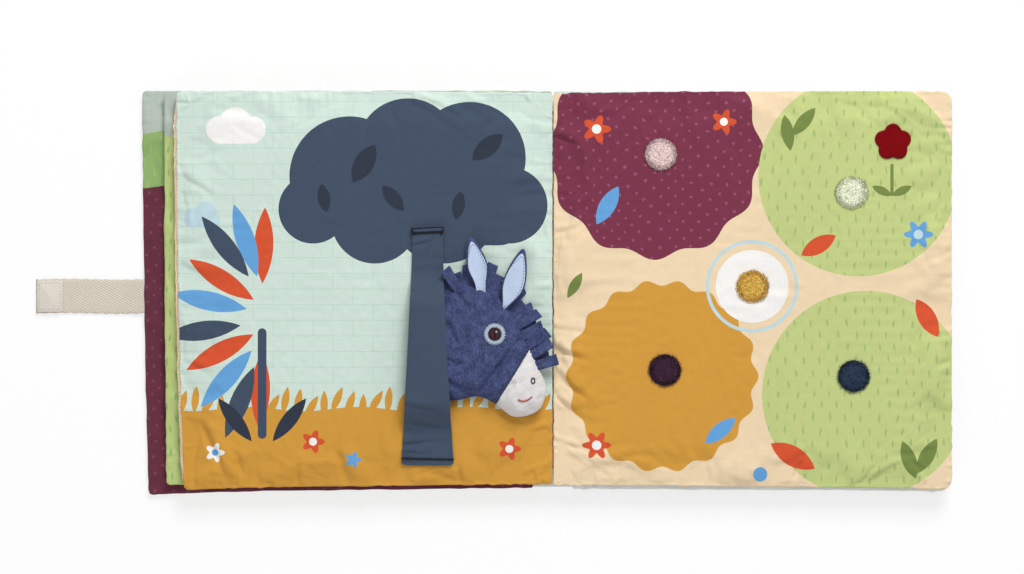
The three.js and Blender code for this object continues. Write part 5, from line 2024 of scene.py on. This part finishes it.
def make_patch(node, body, name, finish, faces_up):
    """A patch of hook and loop tape with rounded corners, and the stitches round it."""
    low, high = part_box(node)
    made = cut_piece(rectangle(low, high, 0, 0), low.z, high.z)
    upright = [e for e in made.edges if abs(e.verts[0].co.z - e.verts[1].co.z) > 0.1 * MM]
    bmesh.ops.bevel(made, geom=upright, offset=PATCH_CORNER, segments=4, profile=0.5, affect="EDGES",
                    material=-1)
    bmesh.ops.bevel(made, geom=made.edges[:], offset=PATCH_ROUND, segments=2, profile=0.5,
                    affect="EDGES", material=-1)
    dress(finish_mesh(name, made, finish), body, "hook_and_loop", node)

    made = bmesh.new()
    corners = rectangle(low, high, PATCH_SEAM_INSET, high.z if faces_up else low.z)
    lay_seam(made, [*corners, corners[0]], 2.1 * MM, 0.4 * MM, 0.25)
    finish_stitches(name + "_stitches", made, body, "hook_and_loop",
                    "Polyester thread sand " + name, "#cfc6b8")


class CLOTHBOOK_OT_tape(bpy.types.Operator):
    """Make the closing tape with its hook patch, and the loop patch under the back cover"""

    bl_idname = "cloth_book.tape"
    bl_label = "Closing tape"

    def execute(self, context):
        make_tape()
        hooks = hook_finish()
        make_patch("closure_hook_patch", "tape_end", "hook_patch", hooks, True)
        make_patch("closure_loop_patch", "back_cover", "loop_patch", hooks, False)
        return {"FINISHED"}


# The stage: camera height and floor in metres, sensor in millimetres, and lamps by place, power and size

CAMERA_HEIGHT = 2.0
SENSOR = 36.0
FLOOR_HALF = 6.0
FLOOR_DROP = 0.4 * MM
FLOOR_GLOW = 0.7
ROOM_LIGHT = 0.43
LAMPS = {"key": ((0.45, 1.45, 1.35), 32.0, 0.9), "fill": ((-0.7, -1.4, 1.2), 8.0, 1.4)}


class CLOTHBOOK_OT_stage(bpy.types.Operator):
    """Set the pale floor, the soft studio light and the camera straight above the book"""

    bl_idname = "cloth_book.stage"
    bl_label = "Stage"

    def execute(self, context):
        scene = context.scene
        scene.view_settings.view_transform = "Standard"
        made = bmesh.new()
        bmesh.ops.create_grid(made, x_segments=1, y_segments=1, size=FLOOR_HALF)
        bmesh.ops.translate(made, verts=made.verts[:], vec=(0, 0, -FLOOR_DROP))
        material, tree = new_material("Matt white paper")
        paper = add(tree, PRINCIPLED,
                    {"Base Color": linear("#fdfdfd"), "Roughness": 0.9, "Specular IOR Level": 0.1})
        glow = add(tree, "ShaderNodeEmission", {"Color": linear("#ffffff"), "Strength": 1.0})
        seen = add(tree, MATH, {0: add(tree, "ShaderNodeLightPath").outputs["Is Camera Ray"],
                                1: FLOOR_GLOW}, operation="MULTIPLY")
        both = add(tree, "ShaderNodeMixShader", {0: seen, 1: paper, 2: glow})
        add(tree, OUTPUT, {0: both})
        finish_mesh("floor", made, material)

        world = bpy.data.worlds.new("Soft studio")
        scene.world = world
        world.use_nodes = True
        tree = world.node_tree
        tree.nodes.clear()
        path = add(tree, "ShaderNodeLightPath")
        seen = add(tree, MATH, {0: path.outputs["Is Camera Ray"], 1: path.outputs["Is Glossy Ray"]},
                   operation="MAXIMUM")
        room = add(tree, "ShaderNodeBackground", {"Color": linear("#ffffff"), "Strength": ROOM_LIGHT})
        backdrop = add(tree, "ShaderNodeBackground", {"Color": linear("#ffffff"), "Strength": 1.0})
        both = add(tree, "ShaderNodeMixShader", {0: seen, 1: room, 2: backdrop})
        add(tree, "ShaderNodeOutputWorld", {0: both})

        for name, (place, power, size) in LAMPS.items():
            light = bpy.data.lights.new(name, "AREA")
            light.energy = power
            light.size = size
            lamp = bpy.data.objects.new(name, light)
            scene.collection.objects.link(lamp)
            lamp.location = place
            lamp.rotation_euler = (-Vector(place)).to_track_quat("-Z", "Y").to_euler()

        page_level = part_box("leaf_3_upper_cloth")[1].z
        camera = bpy.data.cameras.new("camera")
        camera.sensor_width = SENSOR
        seen_width = PHOTO_WIDTH * PHOTO_SCALE
        camera.lens = SENSOR * (CAMERA_HEIGHT - page_level) / seen_width
        eye = bpy.data.objects.new("camera", camera)
        scene.collection.objects.link(eye)
        eye.location = (
            (PHOTO_WIDTH / 2 - GUTTER_PX[0]) * PHOTO_SCALE,
            (GUTTER_PX[1] - PHOTO_HEIGHT / 2) * PHOTO_SCALE,
            CAMERA_HEIGHT,
        )
        scene.camera = eye
        return {"FINISHED"}


class CLOTHBOOK_PT_panel(bpy.types.Panel):
    """Lists the steps that dress the book"""

    bl_label = "Cloth Book"
    bl_idname = "CLOTHBOOK_PT_panel"
    bl_space_type = "VIEW_3D"
    bl_region_type = "UI"
    bl_category = "Cloth Book"

    def draw(self, context):
        for step in STEPS:
            self.layout.operator(step.bl_idname)
        for group in (context.scene.cloth_book_sizes, context.scene.cloth_book_colours):
            for name in type(group).__annotations__:
                self.layout.prop(group, name)


STEPS = (
    CLOTHBOOK_OT_stage,
    CLOTHBOOK_OT_leaves,
    CLOTHBOOK_OT_gutter,
    CLOTHBOOK_OT_strap,
    CLOTHBOOK_OT_puppet,
    CLOTHBOOK_OT_discs,
    CLOTHBOOK_OT_flower,
    CLOTHBOOK_OT_tape,
)
CLASSES = (ClothBookSizes, ClothBookColours, *STEPS, CLOTHBOOK_PT_panel)


def register():
    for cls in CLASSES:
        bpy.utils.register_class(cls)
    bpy.types.Scene.cloth_book_sizes = bpy.props.PointerProperty(type=ClothBookSizes)
    bpy.types.Scene.cloth_book_colours = bpy.props.PointerProperty(type=ClothBookColours)


def unregister():
    del bpy.types.Scene.cloth_book_colours
    del bpy.types.Scene.cloth_book_sizes
    for cls in reversed(CLASSES):
        bpy.utils.unregister_class(cls)


def main():
    register()
    bpy.ops.cloth_book.stage()
    bpy.ops.cloth_book.leaves()
    bpy.ops.cloth_book.gutter()
    bpy.ops.cloth_book.strap()
    bpy.ops.cloth_book.puppet()
    bpy.ops.cloth_book.discs()
    bpy.ops.cloth_book.flower()
    bpy.ops.cloth_book.tape()


if __name__ == "__main__":
    main()
